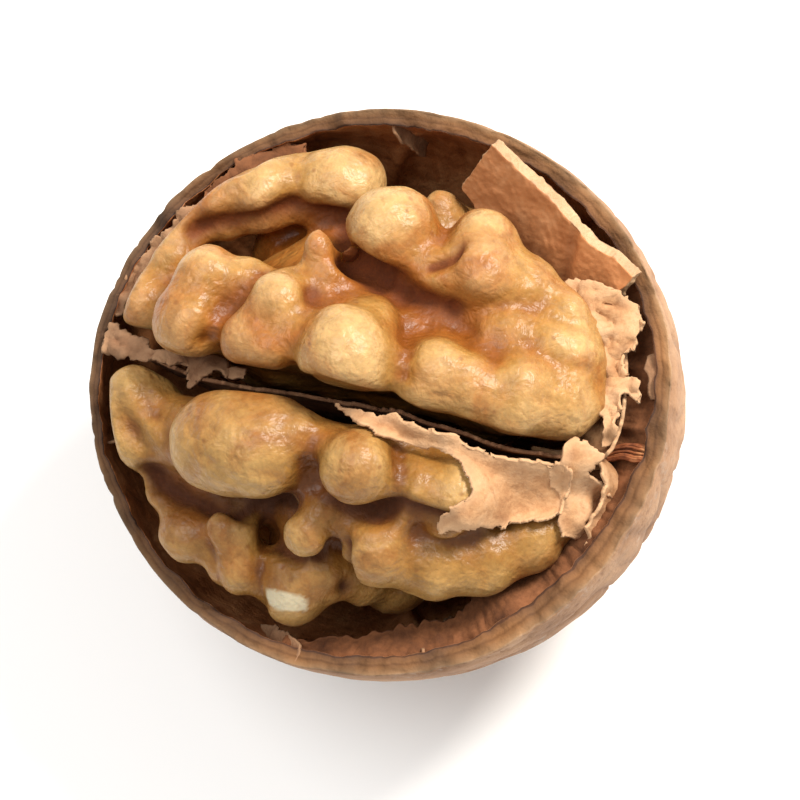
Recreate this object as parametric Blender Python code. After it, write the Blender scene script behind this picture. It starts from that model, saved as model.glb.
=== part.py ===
"""An open walnut: one half of the shell, the two kernel halves standing in it, the papery
partition between them and a broken chip of the other shell half.

The nut's long axis is X, the partition lies in the XZ plane and the shell opens towards +Z.
Lengths are in millimetres and become metres where a mesh is made. The origin is the middle of
the small flat that the shell rests on."""

import math
import random

import bmesh
import bpy
from mathutils import Matrix, Vector, noise
from mathutils.bvhtree import BVHTree

MM = 0.001

# Shell
SHELL_LENGTH = 40.3
SHELL_WIDTH = 38.2
SHELL_DEPTH = 18.5
FLAT_RADIUS = 3.6
WALL = 1.2
WALL_SWING = 0.4
THICK_WALL_AT = 20.0
TIP_HEIGHT = 0.3
SEAM_SWELL = 0.2
FURROW_DEPTH = 0.3
SHELL_SIDES = 64
OUTER_RINGS = 15
INNER_RINGS = 13

# Kernel
KERNEL_CENTRE = Vector((-0.8, 0.0, 18.5))
KERNEL_CORE = Vector((12.4, 11.4, 8.4))
UNDERSIDE = Vector((16.4, 15.0, 16.4))
CLEFT_GAP = 1.5
CORE_CUT = 1.6
SEAT_GAP = 0.4
KERNEL_VOXEL = 0.42
KERNEL_SMOOTHING = 5
NECK = 0.2
KERNEL_TRIANGLES = 4700
SEED = 11

# The line of the cleft between the halves, seen from above: (x, y)
CLEFT = [
    (-20.0, 0.4), (-18.6, 0.2), (-16.6, -0.6), (-14.0, -1.2), (-11.5, -1.6), (-3.4, -1.4), (2.3, -1.5),
    (5.2, -1.9), (10.4, -2.4), (13.9, -2.0), (17.0, -1.2),
]

# Each chain runs through (x, y, z, radius) of its bulbs
BACK_FOLDS = [
    [(-5.4, 13.4, 20.4, 2.8), (-8.2, 12.6, 20.4, 2.6), (-11.0, 11.6, 20.8, 3.0), (-13.4, 10.0, 20.8, 2.4)],
    [(-13.4, 10.0, 20.8, 2.0), (-15.4, 8.4, 20.9, 1.8), (-15.9, 6.4, 21.0, 1.9)],
    [(-17.4, 3.0, 21.2, 2.1), (-14.6, 3.4, 20.4, 2.4)],
    [(-12.2, 4.8, 24.9, 2.4), (-12.6, 1.9, 25.0, 2.8)],
    [(-12.1, 3.6, 23.3, 2.6), (-9.4, 4.6, 24.6, 2.3), (-6.4, 4.2, 25.6, 2.3)],
    [(-6.4, 4.2, 26.0, 2.2), (-4.8, 4.4, 25.6, 2.0)],
    [(-6.4, 4.0, 27.3, 2.1), (-8.1, 1.2, 26.9, 2.0), (-6.4, 0.8, 27.3, 1.9), (-4.7, 2.0, 27.3, 1.9)],
    [(-7.0, 3.2, 25.0, 2.8), (-3.2, 2.8, 25.4, 2.6)],
    [(-0.8, 1.2, 28.0, 3.5), (-0.4, 2.6, 25.6, 3.2)],
    [(-0.6, 10.4, 24.4, 3.2), (0.6, 8.9, 23.6, 2.9), (3.9, 7.6, 24.2, 2.5)],
    [(5.5, 10.8, 23.5, 2.4), (5.9, 8.7, 24.5, 2.8), (3.9, 7.6, 24.6, 2.3)],
    [(6.4, 8.8, 23.8, 2.8), (8.6, 8.0, 22.8, 2.7), (10.6, 6.6, 22.2, 2.6)],
    [(5.9, 8.7, 24.3, 2.8), (8.3, 7.3, 23.0, 2.3), (10.4, 7.2, 22.4, 2.2), (12.5, 5.8, 21.2, 2.1)],
    [(2.0, 1.8, 24.0, 2.0), (4.8, 1.2, 26.3, 2.8), (7.4, 0.8, 25.9, 2.5), (10.0, 0.9, 24.9, 3.0)],
    [(10.0, 0.9, 24.9, 3.0), (12.6, 1.0, 23.0, 2.7), (13.6, 1.8, 21.8, 2.1)],
    [(4.8, 3.8, 23.5, 2.4), (8.2, 4.0, 23.8, 2.7), (11.2, 4.1, 22.5, 2.8), (12.8, 3.8, 21.2, 2.6)],
    [(-5.0, 8.5, 26.3, 0.9), (-4.6, 7.4, 25.4, 1.3), (-3.9, 6.0, 24.8, 1.8)],
    [(0.9, 13.3, 18.9, 1.3), (1.4, 11.6, 17.6, 2.4)],
]
FRONT_FOLDS = [
    [(-16.5, -3.4, 21.6, 2.0), (-17.3, -4.7, 21.3, 1.8), (-16.7, -6.3, 20.9, 1.8), (-15.1, -6.7, 20.7, 2.0)],
    [(-15.4, -4.4, 20.6, 2.6), (-13.9, -5.5, 21.0, 2.5), (-12.0, -5.4, 21.6, 2.7)],
    [(-8.9, -5.7, 25.3, 3.5), (-7.4, -5.6, 25.7, 3.8), (-5.7, -5.6, 26.0, 3.7), (-2.7, -4.7, 26.8, 2.0)],
    [(1.2, -5.8, 27.3, 2.7), (1.5, -5.6, 25.0, 2.8)],
    [(4.8, -6.2, 25.6, 2.4), (7.6, -6.2, 24.9, 2.7)],
    [(2.6, -4.4, 24.2, 2.6), (7.6, -4.4, 23.4, 2.6), (12.0, -3.8, 20.8, 2.2)],
    [(-2.0, -10.4, 24.4, 1.8), (-0.9, -8.4, 24.9, 1.6), (1.1, -7.6, 24.4, 1.6)],
    [(-0.9, -8.4, 24.6, 1.4), (1.4, -9.2, 24.2, 1.2), (3.2, -9.6, 23.6, 1.7)],
    [(-11.0, -12.0, 20.3, 2.2), (-10.4, -9.8, 19.6, 2.3)],
    [(-7.8, -11.0, 21.6, 2.0), (-7.2, -13.3, 20.2, 2.2)],
    [(-3.2, -14.0, 19.4, 2.6), (-3.6, -12.4, 20.4, 1.8), (-1.9, -12.3, 20.6, 2.2)],
    [(-1.0, -12.7, 19.8, 2.1), (-0.2, -11.4, 18.6, 2.1)],
    [(-13.2, -9.3, 19.8, 1.7), (-12.4, -7.4, 19.6, 1.8)],
    [(1.0, -12.9, 18.0, 1.5), (1.6, -11.2, 17.0, 2.2)],
    [(3.2, -10.4, 23.4, 2.9), (6.1, -10.7, 22.1, 2.7), (9.3, -9.6, 21.2, 2.7), (12.1, -7.8, 20.4, 2.4)],
    [(12.1, -7.8, 20.4, 2.4), (13.8, -5.4, 19.8, 2.1)],
    [(4.0, -8.6, 21.4, 2.6), (9.0, -7.4, 19.8, 2.8)],
]

# The papery partition: height of its upper edge and length of its flap, by x
PAPER = 0.6
PAPER_GAP = 0.42
FOLD_RADIUS = 0.9
WELD = 0.05
PARTITION_COLUMNS = 39
PARTITION_ROWS = 19
PARTITION_SPAN = (-18.4, 16.3)
PARTITION_TOP = [
    (-20.0, 21.2), (-17.0, 22.0), (-14.6, 22.6), (-12.8, 21.8), (-11.2, 23.2), (-9.4, 22.0), (-3.0, 22.6),
    (-1.0, 24.0), (0.4, 27.6), (3.0, 28.6), (6.0, 28.4), (9.0, 27.0), (12.0, 24.6), (14.0, 22.6), (17.0, 20.4),
]
FLAP_LENGTH = [
    (-20.0, 0.0), (0.0, 0.0), (1.0, 1.1), (2.6, 1.9), (5.0, 2.2), (6.8, 2.2), (8.8, 5.6), (10.2, 5.2),
    (12.6, 5.0), (14.4, 4.2), (17.0, 3.0),
]

# The collar of the same paper round the kernel's stem end: height and flare of its torn lip, by degrees
COLLAR_SPAN = (-28, 29)
COLLAR_COLUMNS = 22
COLLAR_ROWS = 6
COLLAR_FOOT = 17.8
COLLAR_TAPER = 0.3
COLLAR_LIP = [(-28, 19.6), (-20, 21.4), (-8, 21.8), (4, 22.0), (20, 21.8), (29, 21.0)]
COLLAR_FLARE = [(-28, 0.8), (-14, 1.2), (0, 1.2), (10, 2.0), (22, 2.6), (29, 2.0)]
COLLAR_FEELERS = (-9, -4, 0, 4, 9)
COLLAR_START = 26.0

# The flap has come down onto the front half this far past the fold
FLAP_LANDING = 2.5

# The chip of shell: its upper edge on the rim, and how far it reaches down from there
CHIP_EDGE = [
    (4.6, 17.6, 22.6), (7.2, 16.0, 22.4), (9.2, 14.8, 22.3), (10.8, 13.6, 22.3), (12.6, 12.2, 22.4),
    (14.4, 11.6, 22.6), (15.9, 10.6, 22.6),
]
CHIP_REACH = [4.8, 5.8, 5.8, 5.6, 4.6, 3.6, 3.0]
CHIP_LEAN = Vector((-0.62, -0.78, -0.9))
CHIP_WALL = 1.0
CHIP_GAP = 0.35
CHIP_ROWS = 5
CHIP_COLUMNS = 19

# How far apart the balls of a chain are, as a share of the smaller radius, and how round the core is cut
BALL_SPACING = 0.45
CORE_SEGMENTS = 32
CORE_RINGS = 20

# Rounds and strength of the evening out of a thin piece's points
PAPER_ROUNDS = 6
CHIP_ROUNDS = 4
EVENING = 0.4

KERNEL_COLOUR = (0.60, 0.34, 0.12, 1.0)
SHELL_COLOUR = (0.46, 0.27, 0.14, 1.0)
PAPER_COLOUR = (0.48, 0.23, 0.11, 1.0)


def clear_scene():
    for old in list(bpy.data.objects):
        bpy.data.objects.remove(old, do_unlink=True)


def material(name, colour, roughness):
    made = bpy.data.materials.new(name)
    made.use_nodes = True
    shader = made.node_tree.nodes["Principled BSDF"]
    shader.inputs["Base Color"].default_value = colour
    shader.inputs["Roughness"].default_value = roughness
    shader.inputs["Metallic"].default_value = 0.0
    return made


def face_outwards(closed):
    """Turns every face of a closed bmesh outwards."""
    bmesh.ops.recalc_face_normals(closed, faces=closed.faces)
    if closed.calc_volume(signed=True) < 0:
        bmesh.ops.reverse_faces(closed, faces=closed.faces)


def keep_largest(made):
    """Drops the small closed pockets that fusing leaves inside a body."""
    left = set(made.verts)
    bodies = []
    while left:
        body, edge = set(), [left.pop()]
        while edge:
            vertex = edge.pop()
            body.add(vertex)
            for link in vertex.link_edges:
                other = link.other_vert(vertex)
                if other in left:
                    left.remove(other)
                    edge.append(other)
        bodies.append(body)
    bodies.sort(key=len)
    for body in bodies[:-1]:
        bmesh.ops.delete(made, geom=list(body), context="VERTS")


def object_from(name, mesh_source, finish):
    """An object whose mesh is the bmesh, turned from millimetres into metres."""
    bmesh.ops.scale(mesh_source, vec=Vector((MM, MM, MM)), verts=mesh_source.verts)
    mesh = bpy.data.meshes.new(name)
    mesh_source.to_mesh(mesh)
    mesh_source.free()
    mesh.materials.append(finish)
    made = bpy.data.objects.new(name, mesh)
    bpy.context.scene.collection.objects.link(made)
    mesh.shade_smooth()
    return made


# The shell

def shell_centre_height():
    """The ellipsoid is lowered until its floor is a flat of the stated radius."""
    return SHELL_DEPTH * math.sqrt(1 - (FLAT_RADIUS / (SHELL_LENGTH / 2)) ** 2)


def along(pairs, place):
    """A value that glides from each (place, value) pair to the next."""
    if place <= pairs[0][0]:
        return pairs[0][1]
    for (low, first), (high, second) in zip(pairs, pairs[1:]):
        if place <= high:
            share = (place - low) / (high - low)
            return first + (second - first) * share * share * (3 - 2 * share)
    return pairs[-1][1]


def all_round(pairs, degrees):
    """The same for pairs that go once round, in rising degrees from 0."""
    return along(pairs + [(pairs[0][0] + 360, pairs[0][1])], degrees % 360)


# Height of the broken rim above the flat, by the angle round the nut
RIM = [
    (0, 21.6), (25, 21.3), (50, 21.0), (75, 21.3), (98, 21.4), (108, 20.8), (112, 20.1), (135, 19.9),
    (150, 20.3), (156, 19.7), (165, 20.2), (182, 20.6), (207, 20.2), (213, 19.1), (235, 18.9), (258, 19.8),
    (290, 20.8), (320, 21.7), (343, 22.1),
]


def wall_thickness(around):
    """Thick at the stem end, thin at the tip."""
    return WALL + WALL_SWING * math.cos(around - math.radians(THICK_WALL_AT))


def shell_point(around, rise, inset):
    """A point of the shell's wall: around and rise are angles, inset is the depth under the outside."""
    height = shell_centre_height()
    direction = Vector((math.cos(rise) * math.cos(around), math.cos(rise) * math.sin(around), math.sin(rise)))
    semi_axes = Vector((SHELL_LENGTH / 2, SHELL_WIDTH / 2, SHELL_DEPTH))
    point = Vector(direction[i] * (semi_axes[i] - inset) for i in range(3))
    return point + Vector((0, 0, height))


def outer_relief(around, rise, rim_rise):
    """How far the outside stands proud: furrows along the nut, the swollen seam and the tip."""
    floor_rise = -math.radians(75)
    fade = min(1.0, max(0.0, (rise - floor_rise) / math.radians(20)))
    place = shell_point(around, rise, 0)
    wave = noise.noise(Vector((place.x * 0.09, place.y * 0.22, place.z * 0.22)))
    furrows = -FURROW_DEPTH * max(0.0, 1 - abs(wave) * 5)
    seam = SEAM_SWELL * math.exp(-((rise - rim_rise) / math.radians(9)) ** 2)
    from_tip = abs((math.degrees(around) - 180 + 180) % 360 - 180) / 10
    tip = TIP_HEIGHT * math.exp(-from_tip ** 2 - ((rise - math.radians(4)) / math.radians(12)) ** 2)
    return (furrows + tip) * fade + seam


def inner_relief(around, rise):
    """Soft swells and two low fins on the inside."""
    place = shell_point(around, rise, WALL)
    swell = 0.25 * noise.noise(place * 0.16)
    fins = 0.0
    for degrees, lean, height in ((-62, 0.5, 0.9), (-44, -0.3, 0.7), (-3, 0.1, 1.0), (96, -0.4, 0.7)):
        off = math.degrees(around) - degrees - lean * math.degrees(rise)
        off = (off + 180) % 360 - 180
        fins += height * math.exp(-(off / 3.2) ** 2) * math.exp(-((rise + 0.45) / 0.42) ** 2)
    return swell - fins


def inside_wall(point, gap):
    """The point, pulled in where it comes closer to the shell's inside than the gap."""
    height = shell_centre_height()
    offset = point - Vector((0, 0, height))
    around = math.atan2(offset.y, offset.x)
    inset = wall_thickness(around) + gap
    room = Vector((SHELL_LENGTH / 2 - inset, SHELL_WIDTH / 2 - inset, SHELL_DEPTH - inset))
    share = math.sqrt(sum((offset[i] / room[i]) ** 2 for i in range(3)))
    if share > 1:
        offset /= share
    return offset + Vector((0, 0, height))


def make_shell(finish):
    made = bmesh.new()
    rings = []
    first_rise = -math.acos(FLAT_RADIUS / (SHELL_LENGTH / 2))
    turns = [2 * math.pi * i / SHELL_SIDES for i in range(SHELL_SIDES)]
    rims = []
    for around in turns:
        rim_height = all_round(RIM, math.degrees(around)) - shell_centre_height()
        rims.append(math.asin(rim_height / SHELL_DEPTH))
    for k in range(OUTER_RINGS + 1):
        ring = []
        for around, rim_rise in zip(turns, rims):
            rise = first_rise + (rim_rise - first_rise) * k / OUTER_RINGS
            proud = outer_relief(around, rise, rim_rise) if k else 0.0
            ring.append(made.verts.new(shell_point(around, rise, -proud)))
        rings.append(ring)
    for k in range(INNER_RINGS):
        ring = []
        for around, rim_rise in zip(turns, rims):
            rise = rim_rise + (math.radians(-84) - rim_rise) * k / (INNER_RINGS - 1)
            inset = wall_thickness(around) - inner_relief(around, rise) * min(1.0, k / 2)
            point = shell_point(around, rise, inset)
            ring.append(made.verts.new(point + Vector((0, 0, -0.2 if k == 0 else 0))))
        rings.append(ring)
    for lower, upper in zip(rings, rings[1:]):
        for i in range(SHELL_SIDES):
            j = (i + 1) % SHELL_SIDES
            made.faces.new((lower[i], lower[j], upper[j], upper[i]))
    made.faces.new(list(reversed(rings[0])))
    made.faces.new(rings[-1])
    face_outwards(made)
    return object_from("shell", made, finish)


# The kernel

def cleft_line(x):
    """Where the middle of the cleft lies across the nut."""
    return along(CLEFT, x)


def add_ball(target, centre, radius):
    bmesh.ops.create_icosphere(target, subdivisions=3, radius=radius, matrix=Matrix.Translation(centre))


def add_chain(target, beads):
    """Overlapping balls whose place and radius glide from each bulb of the chain to the next."""
    for first, second in zip(beads, beads[1:]):
        start, end = Vector(first[:3]), Vector(second[:3])
        smaller = min(first[3], second[3])
        steps = max(1, math.ceil((end - start).length / (BALL_SPACING * smaller)))
        neck = NECK * min(1.0, (end - start).length / (first[3] + second[3]))
        for k in range(steps + 1):
            share = k / steps
            ease = share * share * (3 - 2 * share)
            radius = first[3] + (second[3] - first[3]) * ease
            radius *= 1 - neck * math.sin(math.pi * share)
            add_ball(target, start.lerp(end, share), radius)


def add_core(target, side):
    """The meat under the folds: half an ellipsoid on one side of the cleft."""
    core = bmesh.new()
    bmesh.ops.create_uvsphere(core, u_segments=CORE_SEGMENTS, v_segments=CORE_RINGS, radius=1)
    for vertex in core.verts:
        vertex.co = Vector(vertex.co[i] * KERNEL_CORE[i] for i in range(3)) + KERNEL_CENTRE
    bmesh.ops.bisect_plane(
        core,
        geom=core.verts[:] + core.edges[:] + core.faces[:],
        plane_co=(0, cleft_line(0) + side * CORE_CUT, 0),
        plane_no=(0, -side, 0),
        clear_outer=True,
    )
    bmesh.ops.holes_fill(core, edges=[edge for edge in core.edges if edge.is_boundary])
    bmesh.ops.recalc_face_normals(core, faces=core.faces)
    half = bpy.data.meshes.new("core")
    core.to_mesh(half)
    core.free()
    target.from_mesh(half)
    bpy.data.meshes.remove(half)


def add_underside(target, side, dice):
    """Bulbs in rows down the hidden side, where the kernel grew against the shell."""
    for down, count, radius in ((12, 6, 3.2), (36, 5, 3.7), (60, 4, 3.9), (82, 2, 3.6)):
        for k in range(count):
            turn = side * math.radians(180 * (k + 0.5) / count + dice.uniform(-6, 6))
            drop = -math.radians(down + dice.uniform(-4, 4))
            size = radius + dice.uniform(-0.3, 0.3)
            direction = Vector((math.cos(drop) * math.cos(turn), math.cos(drop) * math.sin(turn), math.sin(drop)))
            centre = Vector(direction[i] * (UNDERSIDE[i] - size) for i in range(3)) + KERNEL_CENTRE
            inner = Vector(direction[i] * KERNEL_CORE[i] * 0.7 for i in range(3)) + KERNEL_CENTRE
            for end in (centre, inner):
                middle = cleft_line(end.x)
                end.y = middle + side * max(side * (end.y - middle), size + CLEFT_GAP / 2)
            add_chain(target, [(*centre, size), (*inner, size)])


def settle(made, side):
    """Keeps the half on its side of the cleft and off the shell."""
    for vertex in made.verts:
        point = inside_wall(vertex.co, SEAT_GAP)
        cleft = cleft_line(point.x) + side * CLEFT_GAP / 2
        if side * (point.y - cleft) < 0:
            point.y = cleft
        vertex.co = point


def make_kernel_half(name, side, folds, finish, dice):
    lumps = bmesh.new()
    add_core(lumps, side)
    for beads in folds:
        add_chain(lumps, beads)
    add_underside(lumps, side, dice)
    rough = object_from(name + "_lumps", lumps, finish)
    skin = rough.modifiers.new("skin", "REMESH")
    skin.mode = "VOXEL"
    skin.voxel_size = KERNEL_VOXEL * MM
    soft = rough.modifiers.new("soft", "SMOOTH")
    soft.factor = 0.5
    soft.iterations = KERNEL_SMOOTHING
    graph = bpy.context.evaluated_depsgraph_get()
    fused = bpy.data.meshes.new_from_object(rough.evaluated_get(graph))
    bpy.data.objects.remove(rough, do_unlink=True)
    made = bmesh.new()
    made.from_mesh(fused)
    bpy.data.meshes.remove(fused)
    bmesh.ops.scale(made, vec=Vector((1 / MM, 1 / MM, 1 / MM)), verts=made.verts)
    keep_largest(made)
    settle(made, side)
    bmesh.ops.triangulate(made, faces=made.faces)
    many = len(made.faces)
    half = object_from(name, made, finish)
    fewer = half.modifiers.new("fewer", "DECIMATE")
    fewer.ratio = min(1.0, KERNEL_TRIANGLES / many)
    return half


# Thin pieces

def tree_of(piece):
    """The piece's finished surface, for measuring distances in metres."""
    return BVHTree.FromObject(piece, bpy.context.evaluated_depsgraph_get())


def clear_of(point, trees, distance):
    """The point, moved out where it is nearer to one of the surfaces than the distance."""
    for tree in trees:
        place, normal, _, _ = tree.find_nearest(point * MM)
        place /= MM
        outward = point - place
        if outward.dot(normal) < 0:
            point = place + normal * distance
        elif outward.length < distance:
            point = place + (outward.normalized() if outward.length > 1e-4 else normal) * distance
    return point


def relax(grid, trees, distance, rounds, indoors=True):
    """Evens a grid of points out, and keeps it clear of the surfaces and, indoors, inside the shell."""
    for _ in range(rounds):
        for i, column in enumerate(grid):
            for k, point in enumerate(column):
                if 0 < i < len(grid) - 1 and 0 < k < len(column) - 1:
                    mean = (column[k - 1] + column[k + 1] + grid[i - 1][k] + grid[i + 1][k]) / 4
                    point = point.lerp(mean, EVENING)
                if indoors:
                    point = inside_wall(point, distance)
                column[k] = clear_of(point, trees, distance)
        for i in range(len(grid) - 1):
            for k in range(len(grid[0]) - 1):
                corners = [(i, k), (i + 1, k), (i, k + 1), (i + 1, k + 1)]
                middle = sum((grid[m][n] for m, n in corners), Vector()) / 4
                shift = clear_of(middle, trees, distance) - middle
                for m, n in corners:
                    grid[m][n] = grid[m][n] + shift
    return grid


def thicken(name, grid, thickness, finish):
    """A closed plate round a grid of points: grid[i][k] is column i, row k."""
    made = bmesh.new()
    last_i, last_k = len(grid) - 1, len(grid[0]) - 1
    layers = []
    for half in (thickness / 2, -thickness / 2):
        layer = []
        for i, column in enumerate(grid):
            row = []
            for k, point in enumerate(column):
                across = grid[min(i + 1, last_i)][k] - grid[max(i - 1, 0)][k]
                upward = column[min(k + 1, last_k)] - column[max(k - 1, 0)]
                row.append(made.verts.new(point + across.cross(upward).normalized() * half))
            layer.append(row)
        layers.append(layer)
    front, back = layers
    for i in range(last_i):
        for k in range(last_k):
            made.faces.new((front[i][k], front[i + 1][k], front[i + 1][k + 1], front[i][k + 1]))
            made.faces.new((back[i][k + 1], back[i + 1][k + 1], back[i + 1][k], back[i][k]))
    for i in range(last_i):
        made.faces.new((front[i + 1][0], front[i][0], back[i][0], back[i + 1][0]))
        made.faces.new((front[i][last_k], front[i + 1][last_k], back[i + 1][last_k], back[i][last_k]))
    for k in range(last_k):
        made.faces.new((front[0][k], front[0][k + 1], back[0][k + 1], back[0][k]))
        made.faces.new((front[last_i][k + 1], front[last_i][k], back[last_i][k], back[last_i][k + 1]))
    face_outwards(made)
    return object_from(name, made, finish)


def floor_under(x, y, gap):
    """Height of the shell's inside, plus the gap, at a place in plan."""
    inset = wall_thickness(math.atan2(y, x)) + gap
    room = Vector((SHELL_LENGTH / 2 - inset, SHELL_WIDTH / 2 - inset, SHELL_DEPTH - inset))
    depth = math.sqrt(max(0.0, 1 - (x / room.x) ** 2 - (y / room.y) ** 2))
    return shell_centre_height() - room.z * depth


def top_of(tree, x, y, otherwise):
    """Height of the surface seen from straight above a place in plan."""
    place, _, _, _ = tree.ray_cast(Vector((x, y, 60)) * MM, Vector((0, 0, -1)))
    return place.z / MM if place else otherwise


def partition_point(x, share, front):
    """Up the cleft to the torn edge, then over the front half as a flap."""
    middle = cleft_line(x)
    foot = floor_under(x, middle, PAPER_GAP + PAPER / 2)
    top = along(PARTITION_TOP, x)
    flap = along(FLAP_LENGTH, x)
    travel = share * (top - foot + flap)
    if travel <= top - foot:
        return Vector((x, middle, foot + travel))
    over = travel - (top - foot)
    turn = min(over / FOLD_RADIUS, math.pi / 2)
    y = middle - FOLD_RADIUS * (1 - math.cos(turn)) - max(0.0, over - FOLD_RADIUS * math.pi / 2)
    crest = top + FOLD_RADIUS * math.sin(turn)
    laid = top_of(front, x, y, crest - 0.6 * over) + PAPER_GAP + PAPER / 2
    return Vector((x, y, crest + (laid - crest) * min(1.0, over / FLAP_LANDING)))


def collar_grid(halves):
    """Round the stem end of the kernel, standing just off its widest part, with a flared lip."""
    grid = []
    low, high = COLLAR_SPAN
    for i in range(COLLAR_COLUMNS):
        degrees = low + (high - low) * i / (COLLAR_COLUMNS - 1)
        lip = along(COLLAR_LIP, degrees)
        column, radii = [], []
        for k in range(COLLAR_ROWS):
            widest = 0.0
            share = k / (COLLAR_ROWS - 1)
            height = COLLAR_FOOT + (lip - COLLAR_FOOT) * share
            for lean in COLLAR_FEELERS:
                turn = math.radians(degrees + lean)
                out = Vector((math.cos(turn), math.sin(turn), 0))
                start = Vector((KERNEL_CENTRE.x, 0, height)) + out * COLLAR_START
                for half in halves:
                    place, _, _, _ = half.ray_cast(start * MM, -out)
                    if place:
                        widest = max(widest, COLLAR_START - (place / MM - start).length)
            turn = math.radians(degrees)
            radius = widest + PAPER_GAP + PAPER / 2
            if column:
                radius = max(radius, radii[-1] - COLLAR_TAPER)
            radii.append(radius)
            radius += along(COLLAR_FLARE, degrees) * share ** 2
            column.append(Vector((KERNEL_CENTRE.x + radius * math.cos(turn), radius * math.sin(turn), height)))
        grid.append(column)
    return grid


def make_partition(shell, halves, finish):
    """One piece of paper: the sheet in the cleft with its flap, joined to the wing round the stem end."""
    front = halves[1]
    low, high = PARTITION_SPAN
    grid = []
    for i in range(PARTITION_COLUMNS):
        x = low + (high - low) * i / (PARTITION_COLUMNS - 1)
        grid.append([partition_point(x, k / (PARTITION_ROWS - 1), front) for k in range(PARTITION_ROWS)])
    distance = PAPER_GAP + PAPER / 2
    grid = relax(grid, [shell, *halves], distance, PAPER_ROUNDS)
    partition = thicken("partition", grid, PAPER, finish)
    collar = relax(collar_grid(halves), [shell, *halves], distance, PAPER_ROUNDS)
    wing = thicken("wing", collar, PAPER, finish)
    joined = partition.modifiers.new("wing", "BOOLEAN")
    joined.operation = "UNION"
    joined.object = wing
    whole = bmesh.new()
    whole.from_object(partition, bpy.context.evaluated_depsgraph_get())
    bmesh.ops.remove_doubles(whole, verts=whole.verts, dist=WELD * MM)
    bmesh.ops.triangulate(whole, faces=whole.faces)
    bmesh.ops.dissolve_degenerate(whole, edges=whole.edges, dist=WELD * MM)
    partition.modifiers.clear()
    whole.to_mesh(partition.data)
    whole.free()
    bpy.data.objects.remove(wing, do_unlink=True)
    return partition


def make_chip(others, finish):
    """A bent plate: its broken upper edge on the rim, the rest leaning down towards the kernel."""
    grid = []
    lean = CHIP_LEAN.normalized()
    last = len(CHIP_EDGE) - 1
    for i in range(CHIP_COLUMNS):
        place = last * i / (CHIP_COLUMNS - 1)
        edge = Vector(along([(k, point[axis]) for k, point in enumerate(CHIP_EDGE)], place) for axis in range(3))
        reach = along(list(enumerate(CHIP_REACH)), place)
        grid.append([edge + lean * reach * k / (CHIP_ROWS - 1) for k in range(CHIP_ROWS)])
    grid = relax(grid, others, CHIP_WALL / 2 + CHIP_GAP, CHIP_ROUNDS, indoors=False)
    return thicken("shell_chip", grid, CHIP_WALL, finish)


def centre_on(shell, pieces):
    """Moves every mesh so that the middle of the shell's outline is over the origin."""
    corners = [Vector(corner) for corner in shell.bound_box]
    middle = sum(corners, Vector()) / len(corners)
    middle.z = 0.0
    for piece in pieces:
        piece.data.transform(Matrix.Translation(-middle))


def main():
    clear_scene()
    dice = random.Random(SEED)
    shell_finish = material("walnut_shell", SHELL_COLOUR, 0.75)
    kernel_finish = material("walnut_kernel", KERNEL_COLOUR, 0.45)
    paper_finish = material("walnut_partition", PAPER_COLOUR, 0.85)
    shell = make_shell(shell_finish)
    back = make_kernel_half("kernel_back", 1, BACK_FOLDS, kernel_finish, dice)
    front = make_kernel_half("kernel_front", -1, FRONT_FOLDS, kernel_finish, dice)
    shell_tree, back_tree, front_tree = tree_of(shell), tree_of(back), tree_of(front)
    partition = make_partition(shell_tree, [back_tree, front_tree], paper_finish)
    chip = make_chip([back_tree, shell_tree], shell_finish)
    centre_on(shell, [shell, back, front, partition, chip])


main()
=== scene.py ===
"""An open walnut: half a shell with both seed halves in it, the papery partition between them
and a broken chip of the other shell half. Lengths below are in millimetres, +X is the stem end."""

import math

import bmesh
import bpy
import numpy as np
from mathutils import Matrix, Vector, noise
from mathutils.bvhtree import BVHTree


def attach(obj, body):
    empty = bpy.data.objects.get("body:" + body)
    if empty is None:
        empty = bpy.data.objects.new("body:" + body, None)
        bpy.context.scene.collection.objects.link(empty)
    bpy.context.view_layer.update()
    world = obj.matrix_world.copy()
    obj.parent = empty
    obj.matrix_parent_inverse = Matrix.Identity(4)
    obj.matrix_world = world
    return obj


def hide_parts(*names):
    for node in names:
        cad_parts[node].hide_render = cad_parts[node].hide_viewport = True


MM = 0.001
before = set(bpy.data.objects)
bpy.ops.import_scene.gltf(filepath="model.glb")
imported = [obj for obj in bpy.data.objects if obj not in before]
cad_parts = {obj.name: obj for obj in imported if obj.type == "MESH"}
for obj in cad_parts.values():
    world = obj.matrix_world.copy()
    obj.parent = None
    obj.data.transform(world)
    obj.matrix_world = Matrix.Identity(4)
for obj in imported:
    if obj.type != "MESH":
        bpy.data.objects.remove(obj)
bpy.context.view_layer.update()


# Small helpers

def linear(code):
    """An sRGB hex colour as the linear colour that a shader takes."""
    parts = [int(code[i:i + 2], 16) / 255 for i in (1, 3, 5)]
    return tuple(c / 12.92 if c <= 0.04045 else ((c + 0.055) / 1.055) ** 2.4 for c in parts) + (1.0,)


def add(tree, kind, values=None, links=None, **settings):
    """Adds a node with its settings, the values of its sockets and the links into them."""
    made = tree.nodes.new(kind)
    for name, value in settings.items():
        setattr(made, name, value)
    for socket, value in (values or {}).items():
        made.inputs[socket].default_value = value
    for socket, source in (links or {}).items():
        tree.links.new(source, made.inputs[socket])
    return made


def stops(ramp, pairs):
    """Sets a colour ramp's stops from (place, hex colour) pairs."""
    points = ramp.color_ramp.elements
    while len(points) > 1:
        points.remove(points[-1])
    points[0].position, points[0].color = pairs[0][0], linear(pairs[0][1])
    for place, code in pairs[1:]:
        points.new(place).color = linear(code)


def along(pairs, place):
    """The value at a place, gliding from each (place, value) pair to the next."""
    if place <= pairs[0][0]:
        return pairs[0][1]
    for (low, first), (high, second) in zip(pairs, pairs[1:]):
        if place <= high:
            share = (place - low) / (high - low)
            return first + (second - first) * share * share * (3 - 2 * share)
    return pairs[-1][1]


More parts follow.
